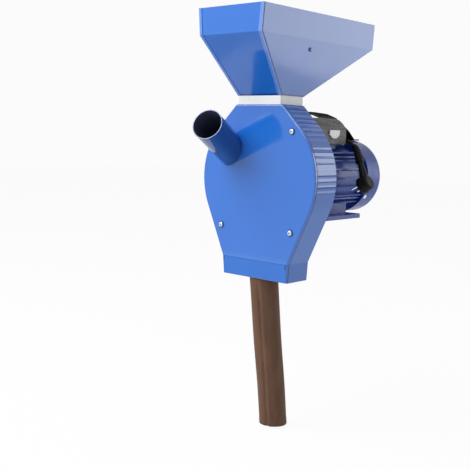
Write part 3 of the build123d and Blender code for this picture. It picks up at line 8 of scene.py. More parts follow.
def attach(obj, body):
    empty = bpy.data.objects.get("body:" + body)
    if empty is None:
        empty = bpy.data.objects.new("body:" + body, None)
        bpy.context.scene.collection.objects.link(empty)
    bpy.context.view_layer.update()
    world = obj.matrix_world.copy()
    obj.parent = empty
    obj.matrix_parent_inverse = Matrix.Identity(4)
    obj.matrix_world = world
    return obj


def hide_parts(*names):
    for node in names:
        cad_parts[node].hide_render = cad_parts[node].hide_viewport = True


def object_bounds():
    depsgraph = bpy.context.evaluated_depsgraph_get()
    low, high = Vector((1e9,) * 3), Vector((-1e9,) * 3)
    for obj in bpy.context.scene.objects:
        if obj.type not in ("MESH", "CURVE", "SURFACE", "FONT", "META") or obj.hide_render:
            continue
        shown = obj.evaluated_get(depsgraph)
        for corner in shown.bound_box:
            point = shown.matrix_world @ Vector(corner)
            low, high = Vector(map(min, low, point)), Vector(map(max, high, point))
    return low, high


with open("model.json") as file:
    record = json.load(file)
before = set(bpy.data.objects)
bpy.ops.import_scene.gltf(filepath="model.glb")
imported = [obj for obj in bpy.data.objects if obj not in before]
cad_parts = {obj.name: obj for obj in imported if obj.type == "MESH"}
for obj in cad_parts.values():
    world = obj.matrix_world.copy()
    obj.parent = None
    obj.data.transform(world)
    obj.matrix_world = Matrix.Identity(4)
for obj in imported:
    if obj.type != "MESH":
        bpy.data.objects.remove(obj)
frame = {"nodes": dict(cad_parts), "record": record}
cad_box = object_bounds()

# Looks of the electric grain mill. Metres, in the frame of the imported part: origin at the centre of the four
# foot holes, the motor shaft SHAFT_HEIGHT above it along +Y, the chamber cover facing -Y. Places that go
# through mill() are in millimetres.

MM = 0.001
SHAFT_HEIGHT = 80 * MM
COVER_Y = -184.5 * MM               # outer face of the chamber cover
nodes = frame["nodes"]


def mill(x, y, z):
    """Point of this frame, from millimetres: X and Z about the shaft, Y behind the cover's outer face."""
    return Vector((x * MM, y * MM + COVER_Y, z * MM + SHAFT_HEIGHT))


def add_object(name, data):
    """New object in the scene."""
    made = bpy.data.objects.new(name, data)
    bpy.context.scene.collection.objects.link(made)
    return made


# ---------------------------------------------------------------- camera
CAMERA_POINT = (974.1, -1148.2, 83.2)   # in the millimetres of mill()
CAMERA_YAW = radians(41.68)
CAMERA_PITCH = radians(-7.17)
CAMERA_ROLL = radians(1.68)
FOCAL_LENGTH = 62.33
SENSOR_WIDTH = 36
NEAR_LIMIT = 0.01


def make_camera():
    """Camera at the photograph's place, looking towards -X and +Y and a little down."""
    level = Vector((-sin(CAMERA_YAW), cos(CAMERA_YAW), 0))
    side = Vector((cos(CAMERA_YAW), sin(CAMERA_YAW), 0))
    up = Vector((0, 0, 1))
    ahead = level * cos(CAMERA_PITCH) + up * sin(CAMERA_PITCH)
    above = up * cos(CAMERA_PITCH) - level * sin(CAMERA_PITCH)
    right = side * cos(CAMERA_ROLL) + above * sin(CAMERA_ROLL)
    top = above * cos(CAMERA_ROLL) - side * sin(CAMERA_ROLL)
    camera = add_object("camera", bpy.data.cameras.new("camera"))
    camera.data.lens = FOCAL_LENGTH
    camera.data.sensor_width = SENSOR_WIDTH
    camera.data.clip_start = NEAR_LIMIT
    turn = Matrix((right, top, -ahead)).transposed()
    camera.matrix_world = Matrix.Translation(mill(*CAMERA_POINT)) @ turn.to_4x4()
    bpy.context.scene.camera = camera


# ---------------------------------------------------------------- material kit
SINGLE_VALUED = ("LENGTH", "DISTANCE", "DOT_PRODUCT")       # vector operations that give one value
WAVE_LENGTH = 0.314                 # from band to band of the wave texture at a scale of 1
NOISE_MIDDLE = (0.3, 0.7)           # where most of a noise's values lie
DULL_ROUGHNESS = 0.65
DULL_AMOUNT = 0.9                   # from which a dulled surface has all of that roughness


class Finish:
    """A Principled material with helpers for its procedural detail."""

    def __init__(self, name, color, roughness, **inputs):
        self.material = bpy.data.materials.new(name)
        self.material.use_nodes = True
        self.tree = self.material.node_tree
        self.shader = self.tree.nodes["Principled BSDF"]
        self.color = color
        self.roughness = roughness
        self.shader.inputs["Base Color"].default_value = (*color, 1)
        self.shader.inputs["Roughness"].default_value = roughness
        for socket, value in inputs.items():
            self.shader.inputs[socket.replace("_", " ")].default_value = value
        self.place = self.tree.nodes.new("ShaderNodeTexCoord").outputs["Object"]

    def link(self, output, target):
        """Leads an output to an input."""
        self.tree.links.new(output, target)

    def operate(self, kind, operation, values):
        """Node of a kind that carries out an operation on outputs or plain values."""
        node = self.tree.nodes.new(kind)
        node.operation = operation
        for socket, value in zip(node.inputs, values):
            if isinstance(value, bpy.types.NodeSocket):
                self.link(value, socket)
            else:
                socket.default_value = value
        return node

    def maths(self, operation, *values):
        """Result of an operation on single values."""
        return self.operate("ShaderNodeMath", operation, values).outputs["Value"]

    def product(self, first, second):
        """One value times another."""
        return self.maths("MULTIPLY", first, second)

    def vector(self, operation, *values):
        """Result of an operation on vectors."""
        node = self.operate("ShaderNodeVectorMath", operation, values)
        return node.outputs["Value" if operation in SINGLE_VALUED else "Vector"]

    def coordinate(self, axis):
        """One coordinate of the surface's place."""
        parts = self.tree.nodes.new("ShaderNodeSeparateXYZ")
        self.link(self.place, parts.inputs["Vector"])
        return parts.outputs[axis]

    def off_axis(self, point, axis):
        """Distance from a line through a point."""
        reach = self.vector("SUBTRACT", self.place, point)
        along = self.vector("PROJECT", reach, axis)
        return self.vector("LENGTH", self.vector("SUBTRACT", reach, along))

    def shaft_angle(self):
        """Angle round the motor shaft above level, in radians and the same on both sides."""
        rise = self.maths("SUBTRACT", self.coordinate("Z"), SHAFT_HEIGHT)
        return self.maths("ARCTAN2", rise, self.maths("ABSOLUTE", self.coordinate("X")))

    def noise(self, size, detail, stretch=(1, 1, 1), rough=0.5):
        """Cloudy noise whose features are about size metres, less where an axis is stretched."""
        mapping = self.tree.nodes.new("ShaderNodeMapping")
        mapping.inputs["Scale"].default_value = stretch
        self.link(self.place, mapping.inputs["Vector"])
        texture = self.tree.nodes.new("ShaderNodeTexNoise")
        texture.inputs["Scale"].default_value = 1 / size
        texture.inputs["Detail"].default_value = detail
        texture.inputs["Roughness"].default_value = rough
        self.link(mapping.outputs["Vector"], texture.inputs["Vector"])
        return texture.outputs["Fac"]

    def waves(self, size, direction, distortion=0.0):
        """Regular bands, size metres from one to the next."""
        texture = self.tree.nodes.new("ShaderNodeTexWave")
        texture.bands_direction = direction
        texture.inputs["Scale"].default_value = WAVE_LENGTH / size
        texture.inputs["Distortion"].default_value = distortion
        self.link(self.place, texture.inputs["Vector"])
        return texture.outputs["Fac"]

    def spread(self, value, low, high, to_low=0.0, to_high=1.0):
        """The value's range low to high stretched over another range, and held at its ends."""
        node = self.tree.nodes.new("ShaderNodeMapRange")
        node.inputs["From Min"].default_value = low
        node.inputs["From Max"].default_value = high
        node.inputs["To Min"].default_value = to_low
        node.inputs["To Max"].default_value = to_high
        self.link(value, node.inputs["Value"])
        return node.outputs["Result"]

    def strip(self, value, start, full, last, end):
        """1 where the value is between full and last, fading to 0 at start and end."""
        return self.product(self.spread(value, start, full), self.spread(value, end, last))

    def tint(self, amount, color):
        """Blends another colour in by an amount from 0 to 1."""
        node = self.tree.nodes.new("ShaderNodeMix")
        node.data_type = "RGBA"
        base = self.shader.inputs["Base Color"]
        if base.is_linked:
            self.link(base.links[0].from_socket, node.inputs["A"])
        else:
            node.inputs["A"].default_value = (*self.color, 1)
        node.inputs["B"].default_value = (*color, 1)
        self.link(amount, node.inputs["Factor"])
        self.link(node.outputs["Result"], base)

    def tint_above(self, value, low, high, color, most):
        """Blends another colour in where the value rises from low to high, by most at the top."""
        self.tint(self.spread(value, low, high, 0.0, most), color)

    def vary_gloss(self, value, below, above):
        """Roughness that varies from below to above the plain one."""
        ranged = self.spread(value, *NOISE_MIDDLE, self.roughness - below, self.roughness + above)
        self.link(ranged, self.shader.inputs["Roughness"])

    def dull(self, amount):
        """Takes the gloss off by an amount from 0 to 1, once vary_gloss has run."""
        roughness = self.shader.inputs["Roughness"]
        duller = self.spread(amount, 0.0, DULL_AMOUNT, 0.0, DULL_ROUGHNESS)
        self.link(self.maths("MAXIMUM", roughness.links[0].from_socket, duller), roughness)

    def relief(self, value, depth):
        """Surface relief of a real depth in metres, added to what is there."""
        node = self.tree.nodes.new("ShaderNodeBump")
        node.inputs["Distance"].default_value = depth
        self.link(value, node.inputs["Height"])
        normal = self.shader.inputs["Normal"]
        if normal.is_linked:
            self.link(normal.links[0].from_socket, node.inputs["Normal"])
        self.link(node.outputs["Normal"], normal)


def shades(color, factor):
    """The colour made lighter or darker."""
    return tuple(min(1.0, channel * factor) for channel in color)


# ---------------------------------------------------------------- blue paint
ENAMEL_BLUE = (0.015, 0.150, 0.60)
ENAMEL_DUST = (0.16, 0.26, 0.60)
ENAMEL_ROUGHNESS = 0.10
# painted shade along the band's bends
BEND_SHADE_BLUE = (0.004, 0.055, 0.40)
# painted shade in the hopper's joints
JOINT_SHADE_BLUE = (0.003, 0.030, 0.26)
# painted highlight along the hopper's front corner
EDGE_HIGHLIGHT_BLUE = (0.20, 0.36, 0.80)
DRUM_RADIUS = 135.0                 # of the band's round sides, in millimetres like the shoulder
SHOULDER = (55.0, 135.5)            # X and Z of the band's upper corner about the shaft
BAND_TOP_ANGLE = atan2(SHOULDER[1], SHOULDER[0]) - acos(DRUM_RADIUS / hypot(*SHOULDER))
BAND_LOW_ANGLE = radians(-13)
BAND_FADE = 0.01                    # radians over which the facets end
FACETS = 13
FACET_ANGLE = (BAND_TOP_ANGLE - BAND_LOW_ANGLE) / FACETS
FACET_HOLLOW = 0.16 * MM
PRESSED_SHARE = (0.3, 1.7)          # of FACET_HOLLOW, where the press went least and most deep
BEND_CREST = (0.75, 1.15)           # shares of FACET_HOLLOW between which a bend's crest turns dull and takes painted shade
FOLD_HEIGHT = mill(0, 0, -152).z
FOLD_SHADE = [FOLD_HEIGHT + step * MM for step in (-1.8, -0.4, -0.4, 0.2)]   # heights for strip() of the painted shade under the fold
# heights for strip() of the painted highlight over the fold
FOLD_HIGHLIGHT = [FOLD_HEIGHT + step * MM for step in (-0.2, 0.6, 0.6, 12.0)]
HOPPER_KNEE = mill(0, -83, 253.7)   # outer line where the front sheet turns in
HOPPER_SLOPE_NORMAL = (0, 0.7707, 0.6372)
HOPPER_FOOT = mill(0, 0, 151.5).z
FOOT_LINE = (HOPPER_FOOT + 3.8 * MM, HOPPER_FOOT + 3.0 * MM)    # heights where the painted shade at the foot ends and is full
HOPPER_JOINT = (1.0 * MM, 1.6 * MM, 3.4 * MM, 4.2 * MM)     # in from the front sheet's outer faces
FLANGE_EDGE = (1.0 * MM, 0.6 * MM)  # the same, of the painted highlight along the edge before the joint
PIPE_TURN = radians(16.8)
PIPE_RISE = radians(24.4)
PIPE_ROOT = mill(-67.8, 0, 52.7)
PIPE_AXIS = (sin(PIPE_TURN) * cos(PIPE_RISE), -cos(PIPE_TURN) * cos(PIPE_RISE), sin(PIPE_RISE))
PIPE_INSIDE = (27.4 * MM, 27.2 * MM)    # radius over which the outside gives way to the bore
# share of the enamel's colour that the pipe keeps, darkened as painted shade
PIPE_PAINTED_SHADE = 0.48
# darker grey-blue of the pipe's bore
BORE_BLUE = (0.030, 0.034, 0.060)
BORE_ROUGHNESS = 0.85


def enamel(name, shade=1.0):
    """Gloss blue enamel with a faint orange peel and fine dust."""
    blue = shades(ENAMEL_BLUE, shade)
    paint = Finish(name, blue, ENAMEL_ROUGHNESS, IOR=1.7)
    paint.tint_above(paint.noise(0.16, 2), 0.35, 0.65, shades(blue, 0.86), most=0.5)
    paint.tint_above(paint.noise(0.0011, 2), 0.68, 0.80, ENAMEL_DUST, most=0.25)
    paint.vary_gloss(paint.noise(0.05, 4), 0.02, 0.05)
    paint.relief(paint.noise(0.0035, 2), 0.000012)
    return paint


def blue_paint():
    """Enamel of the sheet metal."""
    return enamel("blue_paint")


def band_paint():
    """Enamel of the band, drawn in unevenly between its press-brake bends, dull along them and darkened there
    with painted shade.
    """
    paint = enamel("band_paint")
    angle = paint.shaft_angle()
    turns = paint.product(paint.maths("SUBTRACT", angle, BAND_TOP_ANGLE), 2 * pi / FACET_ANGLE)
    faceted = paint.spread(angle, BAND_LOW_ANGLE, BAND_LOW_ANGLE + BAND_FADE)
    uneven = paint.spread(paint.noise(0.012, 1, (1, 0, 1)), 0.35, 0.65, *PRESSED_SHARE)
    pressed = paint.product(paint.product(paint.maths("COSINE", turns), faceted), uneven)
    paint.relief(pressed, FACET_HOLLOW)
    bend = paint.spread(pressed, *BEND_CREST, 0.0, 0.9)
    # the bends' darker blue is painted shade
    paint.tint(bend, BEND_SHADE_BLUE)
    paint.dull(bend)
    return paint


def cover_paint():
    """Enamel of the cover, with a strip of painted highlight over the fold and a dark line of painted shade
    under it.
    """
    paint = enamel("cover_paint")
    height = paint.coordinate("Z")
    # dark line of painted shade under the fold
    paint.tint(paint.product(paint.strip(height, *FOLD_SHADE), 0.75), (0.006, 0.05, 0.25))
    # lighter strip of painted highlight over the fold
    paint.tint(paint.product(paint.strip(height, *FOLD_HIGHLIGHT), 0.35), (0.06, 0.24, 0.70))
    return paint


def hopper_paint(name="hopper_paint"):
    """Enamel of the hopper's front and back, with painted shade in the joint with the collar."""
    paint = enamel(name)
    foot = paint.spread(paint.coordinate("Z"), *FOOT_LINE)
    # painted shade along the foot, above the collar
    paint.tint(paint.product(foot, 0.9), JOINT_SHADE_BLUE)
    return paint


def hopper_side_paint():
    """Enamel of the hopper's sides, with painted shade in the joint behind the front sheet's flange too, and a
    painted highlight along the edge before it.
    """
    paint = hopper_paint("hopper_side_paint")
    behind = paint.maths("SUBTRACT", paint.coordinate("Y"), HOPPER_KNEE.y)
    from_knee = paint.vector("SUBTRACT", paint.place, HOPPER_KNEE)
    above = paint.vector("DOT_PRODUCT", from_knee, HOPPER_SLOPE_NORMAL)
    inward = paint.maths("MINIMUM", behind, above)
    joint = paint.strip(inward, *HOPPER_JOINT)
    # painted shade in the joint behind the front sheet's flange
    paint.tint(paint.product(joint, 0.85), JOINT_SHADE_BLUE)
    paint.dull(joint)
    # painted highlight along the edge before the joint
    paint.tint(paint.product(paint.spread(inward, *FLANGE_EDGE), 0.5), EDGE_HIGHLIGHT_BLUE)
    return paint


def pipe_paint():
    """Enamel of the cob pipe, darkened all over as painted shade, and darker grey-blue and dull in its bore.
    """
    paint = enamel("pipe_paint", PIPE_PAINTED_SHADE)
    inside = paint.spread(paint.off_axis(PIPE_ROOT, PIPE_AXIS), *PIPE_INSIDE)
    # mottling of how far the bore is darkened
    dust = paint.spread(paint.noise(0.006, 4), 0.3, 0.7, 0.75, 1.0)
    paint.tint(paint.product(inside, dust), BORE_BLUE)
    roughness = paint.spread(inside, 0.0, 1.0, ENAMEL_ROUGHNESS, BORE_ROUGHNESS)
    paint.link(roughness, paint.shader.inputs["Roughness"])
    return paint


def motor_paint():
    """Satin blue on cast and drawn aluminium, a little rough, darker in its pores."""
    blue = (0.024, 0.076, 0.40)
    paint = Finish("motor_paint", blue, 0.30, IOR=1.47)
    paint.tint_above(paint.noise(0.05, 3), 0.35, 0.7, shades(blue, 0.7), most=0.6)
    paint.tint_above(paint.noise(0.0016, 3), 0.62, 0.75, (0.09, 0.13, 0.33), most=0.5)
    paint.vary_gloss(paint.noise(0.02, 4), 0.07, 0.12)
    paint.relief(paint.noise(0.0018, 3), 0.00006)
    return paint


# ---------------------------------------------------------------- metals
SCREW_PLACES = ((80.0, 87.9), (84.0, -93.0))    # X and Z of the cover screws about the shaft, on both sides
WASHER_EDGE = (4.3 * MM, 4.7 * MM)  # radius over which a screw's head gives way to its washer


def metal(name, color, roughness, grain_depth=0.00001, stain=(0.3, 0.27, 0.22), stretch=(1, 1, 14)):
    """Bare metal with a drawn grain and faint stains."""
    steel = Finish(name, color, roughness, Metallic=1.0)
    steel.tint_above(steel.noise(0.02, 4), 0.45, 0.8, shades(color, 0.72), most=0.45)
    steel.tint_above(steel.noise(0.006, 3), 0.66, 0.8, stain, most=0.4)
    steel.vary_gloss(steel.noise(0.008, 4), 0.07, 0.12)
    steel.relief(steel.noise(0.003, 3, stretch), grain_depth)
    return steel


def zinc():
    """Bright zinc plate."""
    return metal("zinc", (0.80, 0.82, 0.85), 0.26, stain=(0.55, 0.52, 0.42), stretch=(1, 1, 1))


def screw_zinc():
    """Zinc-plated heads over washers that were painted with the cover, their blue darker than the cover's as
    painted shade round each head.
    """
    plate = Finish("screw_zinc", (0.74, 0.77, 0.80), 0.30, Metallic=1.0)
    plate.tint_above(plate.noise(0.002, 3), 0.5, 0.8, (0.5, 0.5, 0.48), most=0.5)
    flat = plate.vector("MULTIPLY", plate.vector("ABSOLUTE", plate.place), (1, 0, 1))
    spots = [mill(x, 0, z) for x, z in SCREW_PLACES]
    top, low = (plate.vector("DISTANCE", flat, (abs(spot.x), 0, abs(spot.z))) for spot in spots)
    washer = plate.spread(plate.maths("MINIMUM", top, low), *WASHER_EDGE)
    # washers painted with the cover, darker than it as painted shade round the head
    plate.tint(washer, (0.012, 0.085, 0.34))
    plate.link(plate.spread(washer, 0.0, 1.0, 1.0, 0.0), plate.shader.inputs["Metallic"])
    plate.relief(plate.noise(0.0015, 2), 0.00002)
    return plate


def bare_steel():
    """Rolled steel with its mill grain."""
    return metal("bare_steel", (0.50, 0.50, 0.51), 0.34)


def hardened_steel():
    """Dark hardened steel with ground faces."""
    return metal("hardened_steel", (0.23, 0.23, 0.25), 0.38, 0.00002)


def cast_alloy():
    """Cast alloy with machined seats."""
    return metal("cast_alloy", (0.62, 0.63, 0.64), 0.40, 0.00004, stretch=(1, 1, 1))


def iron_stack():
    """Edges of stacked electrical steel, half a millimetre apart."""
    iron = Finish("iron_stack", (0.16, 0.16, 0.17), 0.45, Metallic=0.9)
    sheets = iron.waves(0.0005, "Y")
    iron.tint_above(sheets, 0.6, 1.0, (0.05, 0.05, 0.055), most=0.8)
    iron.tint_above(iron.noise(0.01, 3), 0.55, 0.75, (0.13, 0.075, 0.045), most=0.5)
    iron.relief(sheets, 0.00005)
    return iron


def copper_turns():
    """Varnished copper wire laid side by side."""
    copper = Finish("copper_turns", (0.52, 0.20, 0.07), 0.3, Metallic=0.85)
    wires = copper.waves(0.0009, "Z", 3.0)
    copper.tint_above(wires, 0.5, 1.0, (0.16, 0.05, 0.015), most=0.8)
    copper.tint_above(copper.noise(0.012, 3), 0.5, 0.7, (0.35, 0.16, 0.05), most=0.5)
    copper.relief(wires, 0.0003)
    return copper


# ---------------------------------------------------------------- plastic, rubber, cloth
BOX_TOP = mill(0, 0, 116).z
BOX_RIBS = (BOX_TOP - 26 * MM, BOX_TOP - 20 * MM)   # heights where the ribs begin and where they are full
BOX_RIB = 3.0 * MM                  # from one rib to the next


def collar_plastic():
    """Off-white moulding, slightly yellowed, with flow marks."""
    plastic = Finish("collar_plastic", (0.80, 0.82, 0.82), 0.32)
    plastic.tint_above(plastic.noise(0.03, 3), 0.4, 0.75, (0.79, 0.78, 0.72), most=0.5)
    plastic.tint_above(plastic.noise(0.0012, 2), 0.70, 0.78, (0.45, 0.42, 0.36), most=0.5)
    plastic.vary_gloss(plastic.noise(0.015, 3), 0.05, 0.08)
    plastic.relief(plastic.noise(0.0009, 2), 0.00002)
    return plastic


def box_plastic():
    """Grained grey plastic, finely speckled and smeared along the box, ribbed near its top with painted shade
    in the grooves.
    """
    grey = (0.135, 0.131, 0.124)
    plastic = Finish("box_plastic", grey, 0.48, Specular_IOR_Level=0.3)
    plastic.tint_above(plastic.noise(0.0030, 3), 0.42, 0.62, shades(grey, 2.3), most=0.75)
    plastic.tint_above(plastic.noise(0.0040, 3, (1, 0.12, 1)), 0.45, 0.7, shades(grey, 0.4), most=0.7)
    plastic.tint_above(plastic.noise(0.03, 2), 0.4, 0.7, shades(grey, 0.6), most=0.5)
    upper = plastic.spread(plastic.coordinate("Z"), *BOX_RIBS)
    ribs = plastic.product(plastic.waves(BOX_RIB, "Z"), upper)
    # painted shade in the grooves between the ribs
    plastic.tint_above(ribs, 0.55, 0.95, shades(grey, 0.22), most=0.65)
    plastic.vary_gloss(plastic.noise(0.01, 3), 0.08, 0.1)
    plastic.relief(plastic.noise(0.0012, 3), 0.00018)
    plastic.relief(ribs, 0.0002)
    return plastic


def white_rubber():
    """White silicone over the switch."""
    rubber = Finish("white_rubber", (0.97, 0.97, 0.97), 0.30)
    rubber.tint_above(rubber.noise(0.006, 2), 0.5, 0.8, (0.88, 0.88, 0.88), most=0.4)
    rubber.relief(rubber.noise(0.0008, 2), 0.00003)
    return rubber


def black_plastic():
    """Moulded black plastic with a fine spark grain."""
    plastic = Finish("black_plastic", (0.006, 0.0057, 0.006), 0.42, Specular_IOR_Level=0.14)
    plastic.tint_above(plastic.noise(0.002, 3), 0.5, 0.75, (0.022, 0.020, 0.019), most=0.6)
    plastic.vary_gloss(plastic.noise(0.006, 3), 0.08, 0.12)
    plastic.relief(plastic.noise(0.0007, 2), 0.00005)
    return plastic


def cord_rubber():
    """Black cord sheath, slightly dusty and dimpled."""
    sheath = Finish("cord_rubber", (0.007, 0.007, 0.007), 0.45, Specular_IOR_Level=0.14)
    sheath.tint_above(sheath.noise(0.004, 4), 0.52, 0.75, (0.026, 0.025, 0.023), most=0.7)
    sheath.vary_gloss(sheath.noise(0.01, 3), 0.08, 0.1)
    sheath.relief(sheath.noise(0.0012, 3), 0.00006)
    return sheath


def strap_paint():
    """Dull black paint on the flat strap, scuffed in spots."""
    paint = Finish("strap_paint", (0.005, 0.005, 0.006), 0.45, Specular_IOR_Level=0.03)
    paint.tint_above(paint.noise(0.003, 4), 0.64, 0.74, (0.025, 0.025, 0.026), most=0.8)
    paint.vary_gloss(paint.noise(0.012, 4), 0.08, 0.14)
    paint.relief(paint.noise(0.002, 3), 0.00004)
    return paint


def felt():
    """Pressed dark felt."""
    fibres = Finish("felt", (0.022, 0.022, 0.028), 0.95)
    fibres.tint_above(fibres.noise(0.0006, 4, rough=0.7), 0.45, 0.7, (0.08, 0.08, 0.09), most=0.9)
    fibres.relief(fibres.noise(0.0005, 4, rough=0.7), 0.0003)
    return fibres


def sleeve_cloth():
    """Brown coated cloth: a fine weave under the coating, with long upright streaks of painted sheen."""
    brown = (0.150, 0.084, 0.055)
    cloth = Finish("sleeve_cloth", brown, 0.50, Specular_IOR_Level=0.06)
    weave = cloth.product(cloth.waves(0.0009, "Z"), cloth.waves(0.0009, "X"))
    cloth.tint_above(weave, 0.2, 0.9, shades(brown, 0.7), most=0.35)
    # long upright streaks of painted sheen
    cloth.tint_above(cloth.noise(0.02, 4, (1, 1, 0.25)), 0.45, 0.75, shades(brown, 1.35), most=0.6)
    cloth.tint_above(cloth.noise(0.004, 3), 0.6, 0.8, shades(brown, 0.6), most=0.5)
    cloth.vary_gloss(cloth.noise(0.01, 4), 0.1, 0.12)
    cloth.relief(weave, 0.00012)
    cloth.relief(cloth.noise(0.012, 3, (1, 1, 0.3)), 0.0008)
    return cloth


def capacitor_can():
    """White plastic can, a little glossy."""
    can = Finish("capacitor_can", (0.78, 0.78, 0.75), 0.25)
    can.tint_above(can.noise(0.01, 3), 0.5, 0.8, (0.66, 0.65, 0.6), most=0.5)
    can.relief(can.noise(0.002, 2), 0.00003)
    return can


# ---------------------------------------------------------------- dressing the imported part
FINISHES = (
    blue_paint, band_paint, cover_paint, hopper_paint, hopper_side_paint, pipe_paint, motor_paint, screw_zinc,
    collar_plastic, zinc, bare_steel, hardened_steel, cast_alloy, iron_stack, copper_turns, box_plastic,
    white_rubber, black_plastic, cord_rubber, strap_paint, felt, sleeve_cloth, capacitor_can,
)
finishes = {make.__name__: make().material for make in FINISHES}

OWN_FINISH = {                      # nodes with a finer or darker finish than the one in the record
    "drum_band": "band_paint",
    "front_cover": "cover_paint",
    "cob_pipe": "pipe_paint",
    "cover_screws": "screw_zinc",
    "hopper_front": "hopper_paint",
    "hopper_back": "hopper_paint",
    "hopper_left": "hopper_side_paint",
    "hopper_right": "hopper_side_paint",
    "strap_screws": "hardened_steel",
    "box_screws": "hardened_steel",
}
EASED_NODES = (                     # sheet and moulded edges that catch a line of light
    "front_cover", "drum_band", "hopper_left", "hopper_right", "hopper_front", "hopper_back",
    "throat_collar", "box_cover", "motor_feet", "carry_strap", "switch_button", "feed_gate",
)
EASED_EDGE = 0.4 * MM
EASED_FROM = radians(40)


def dress_cad_nodes():
    """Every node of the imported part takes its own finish, or else the one that its record names."""
    for part in frame["record"]["subparts"]:
        mesh = nodes[part["node"]].data
        mesh.materials.clear()
        mesh.materials.append(finishes[OWN_FINISH.get(part["node"], part["material_slot"])])
        mesh.polygons.foreach_set("material_index", [0] * len(mesh.polygons))


def ease_edges():
    """Small round on the outer edges of the sheet metal and mouldings."""
    for name in EASED_NODES:
        bevel = nodes[name].modifiers.new("eased edge", "BEVEL")
        bevel.width = EASED_EDGE
        bevel.segments = 2
        bevel.limit_method = "ANGLE"
        bevel.angle_limit = EASED_FROM
        bevel.harden_normals = True


# ---------------------------------------------------------------- new pieces
def dress(piece, slot):
    """Gives a new piece a finish and names its material slot."""
    piece.data.materials.append(finishes[slot])


def piece_from(mesh, name, slot, smooth=False):
    """Turns a mesh under construction into a dressed piece of the fixed body."""
    data = bpy.data.meshes.new(name)
    bmesh.ops.recalc_face_normals(mesh, faces=mesh.faces)
    mesh.to_mesh(data)
    mesh.free()
    if smooth:
        data.shade_smooth()
    piece = add_object(name, data)
    dress(piece, slot)
    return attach(piece, "frame")


def brick(mesh, centre, size):
    """Adds a box to a mesh, in the millimetres of mill()."""
    for vert in bmesh.ops.create_cube(mesh, size=1.0)["verts"]:
        vert.co = mill(*(c + v * d for c, v, d in zip(centre, vert.co, size)))


def join_rings(mesh, rings):
    """Faces from each ring of vertices to the next."""
    for first, second in zip(rings, rings[1:]):
        for side in range(len(first)):
            beside = (side + 1) % len(first)
            mesh.faces.new((first[side], first[beside], second[beside], second[side]))


# ---------------------------------------------------------------- cover screws
CROSS_LENGTH = 5.0
CROSS_WIDTH = 1.1
CROSS_DEPTHS = (0.20, 0.24)         # of its two bars, so that no faces coincide
HEAD_TOP = -3.6                     # outer face of the cover screws' heads


def make_screw_recesses():
    """Dark steel cross on the head of each cover screw, painted shade of its cross recess."""
    mesh = bmesh.new()
    level_depth, upright_depth = CROSS_DEPTHS
    for x, z in SCREW_PLACES:
        for centre in ((-x, HEAD_TOP, z), (x, HEAD_TOP, z)):
            brick(mesh, centre, (CROSS_LENGTH, level_depth, CROSS_WIDTH))
            brick(mesh, centre, (CROSS_WIDTH, upright_depth, CROSS_LENGTH))
    # the dark steel stands for the shade in the recess
    piece_from(mesh, "screw_recesses", "hardened_steel")


# ---------------------------------------------------------------- cord
# Routes, coil and strain relief are in the millimetres of mill().
CORD_DIAMETER = 6.6 * MM
LEAD_ROUTE = [
    (-24.0, 246.0, 82.0),
    (-42.0, 245.0, 79.0),
    (-58.0, 238.0, 71.0),
    (-70.0, 225.0, 61.0),
    (-78.0, 209.0, 53.0),
    (-81.5, 193.0, 47.5),
    (-82.0, 178.0, 41.0),
    (-81.4, 167.5, 30.0),
    (-80.8, 163.2, 16.0),
]
TAIL_ROUTE = [
    (-80.8, 235.6, 9.0),
    (-80.8, 237.0, 25.0),
    (-79.5, 243.0, 40.0),
    (-72.0, 250.5, 54.0),
    (-56.0, 255.0, 65.0),
    (-34.0, 256.0, 71.5),
    (-9.0, 256.0, 74.5),
    (14.0, 254.0, 74.5),
    (34.0, 248.0, 72.0),
    (51.0, 239.0, 66.0),
    (64.5, 229.5, 57.8),
    (75.2, 221.4, 46.8),
    (83.4, 216.8, 32.9),
]
COIL_CENTRE = (196.0, -6.0)         # Y and Z
COIL_LANES = (                      # radius and X of each turn's lane, wound to and fro
    (33.0, -80.8), (33.0, -87.4), (33.0, -94.0), (39.6, -94.0), (39.6, -87.4), (39.6, -80.8),
)
COIL_TURNS = 4.5
POINTS_PER_TURN = 16
LANE_LENGTH = 0.8                   # turns before the next change of lane
LANE_CHANGE = 0.17                  # share of a turn that a change takes
RELIEF_RADIUS = (8.6, 5.3)          # of the plug's strain relief, at the plug and at its free end
RELIEF_TAPER = 1.3                  # power of the share by which it widens
RELIEF_RIB = 0.7
RELIEF_RIBS = 9
RELIEF_RINGS = 60
RELIEF_SIDES = 24


def coil_points():
    """The turns of the put-away cord, from the front of the coil down, round and out at its back."""
    points = []
    for step in range(int(COIL_TURNS * POINTS_PER_TURN) + 1):
        turn = step / POINTS_PER_TURN
        lane = min(len(COIL_LANES) - 1, int(turn / LANE_LENGTH))
        share = min(1.0, (turn - lane * LANE_LENGTH) / LANE_CHANGE)
        before = COIL_LANES[max(lane - 1, 0)]
        after = COIL_LANES[lane]
        radius, x = (a + (b - a) * share for a, b in zip(before, after))
        reach = radius / cos(pi / POINTS_PER_TURN)
        angle = pi + 2 * pi * turn
        points.append((x, COIL_CENTRE[0] + reach * cos(angle), COIL_CENTRE[1] + reach * sin(angle)))
    return points


def tail_end(share):
    """Point and direction of the cord over its last stretch, from 0 up the cord to 1 in the plug."""
    last = [Vector(place) for place in TAIL_ROUTE[-4:]]
    joints = [(last[0] + last[1]) / 2, (last[1] + last[2]) / 2, last[3]]    # of the cord's quadratic pieces
    piece = min(1, int(share * 2))
    t = share * 2 - piece
    start, bend, end = joints[piece], last[piece + 1], joints[piece + 1]
    point = start * (1 - t) ** 2 + bend * 2 * t * (1 - t) + end * t ** 2
    return point, ((bend - start) * (1 - t) + (end - bend) * t).normalized()


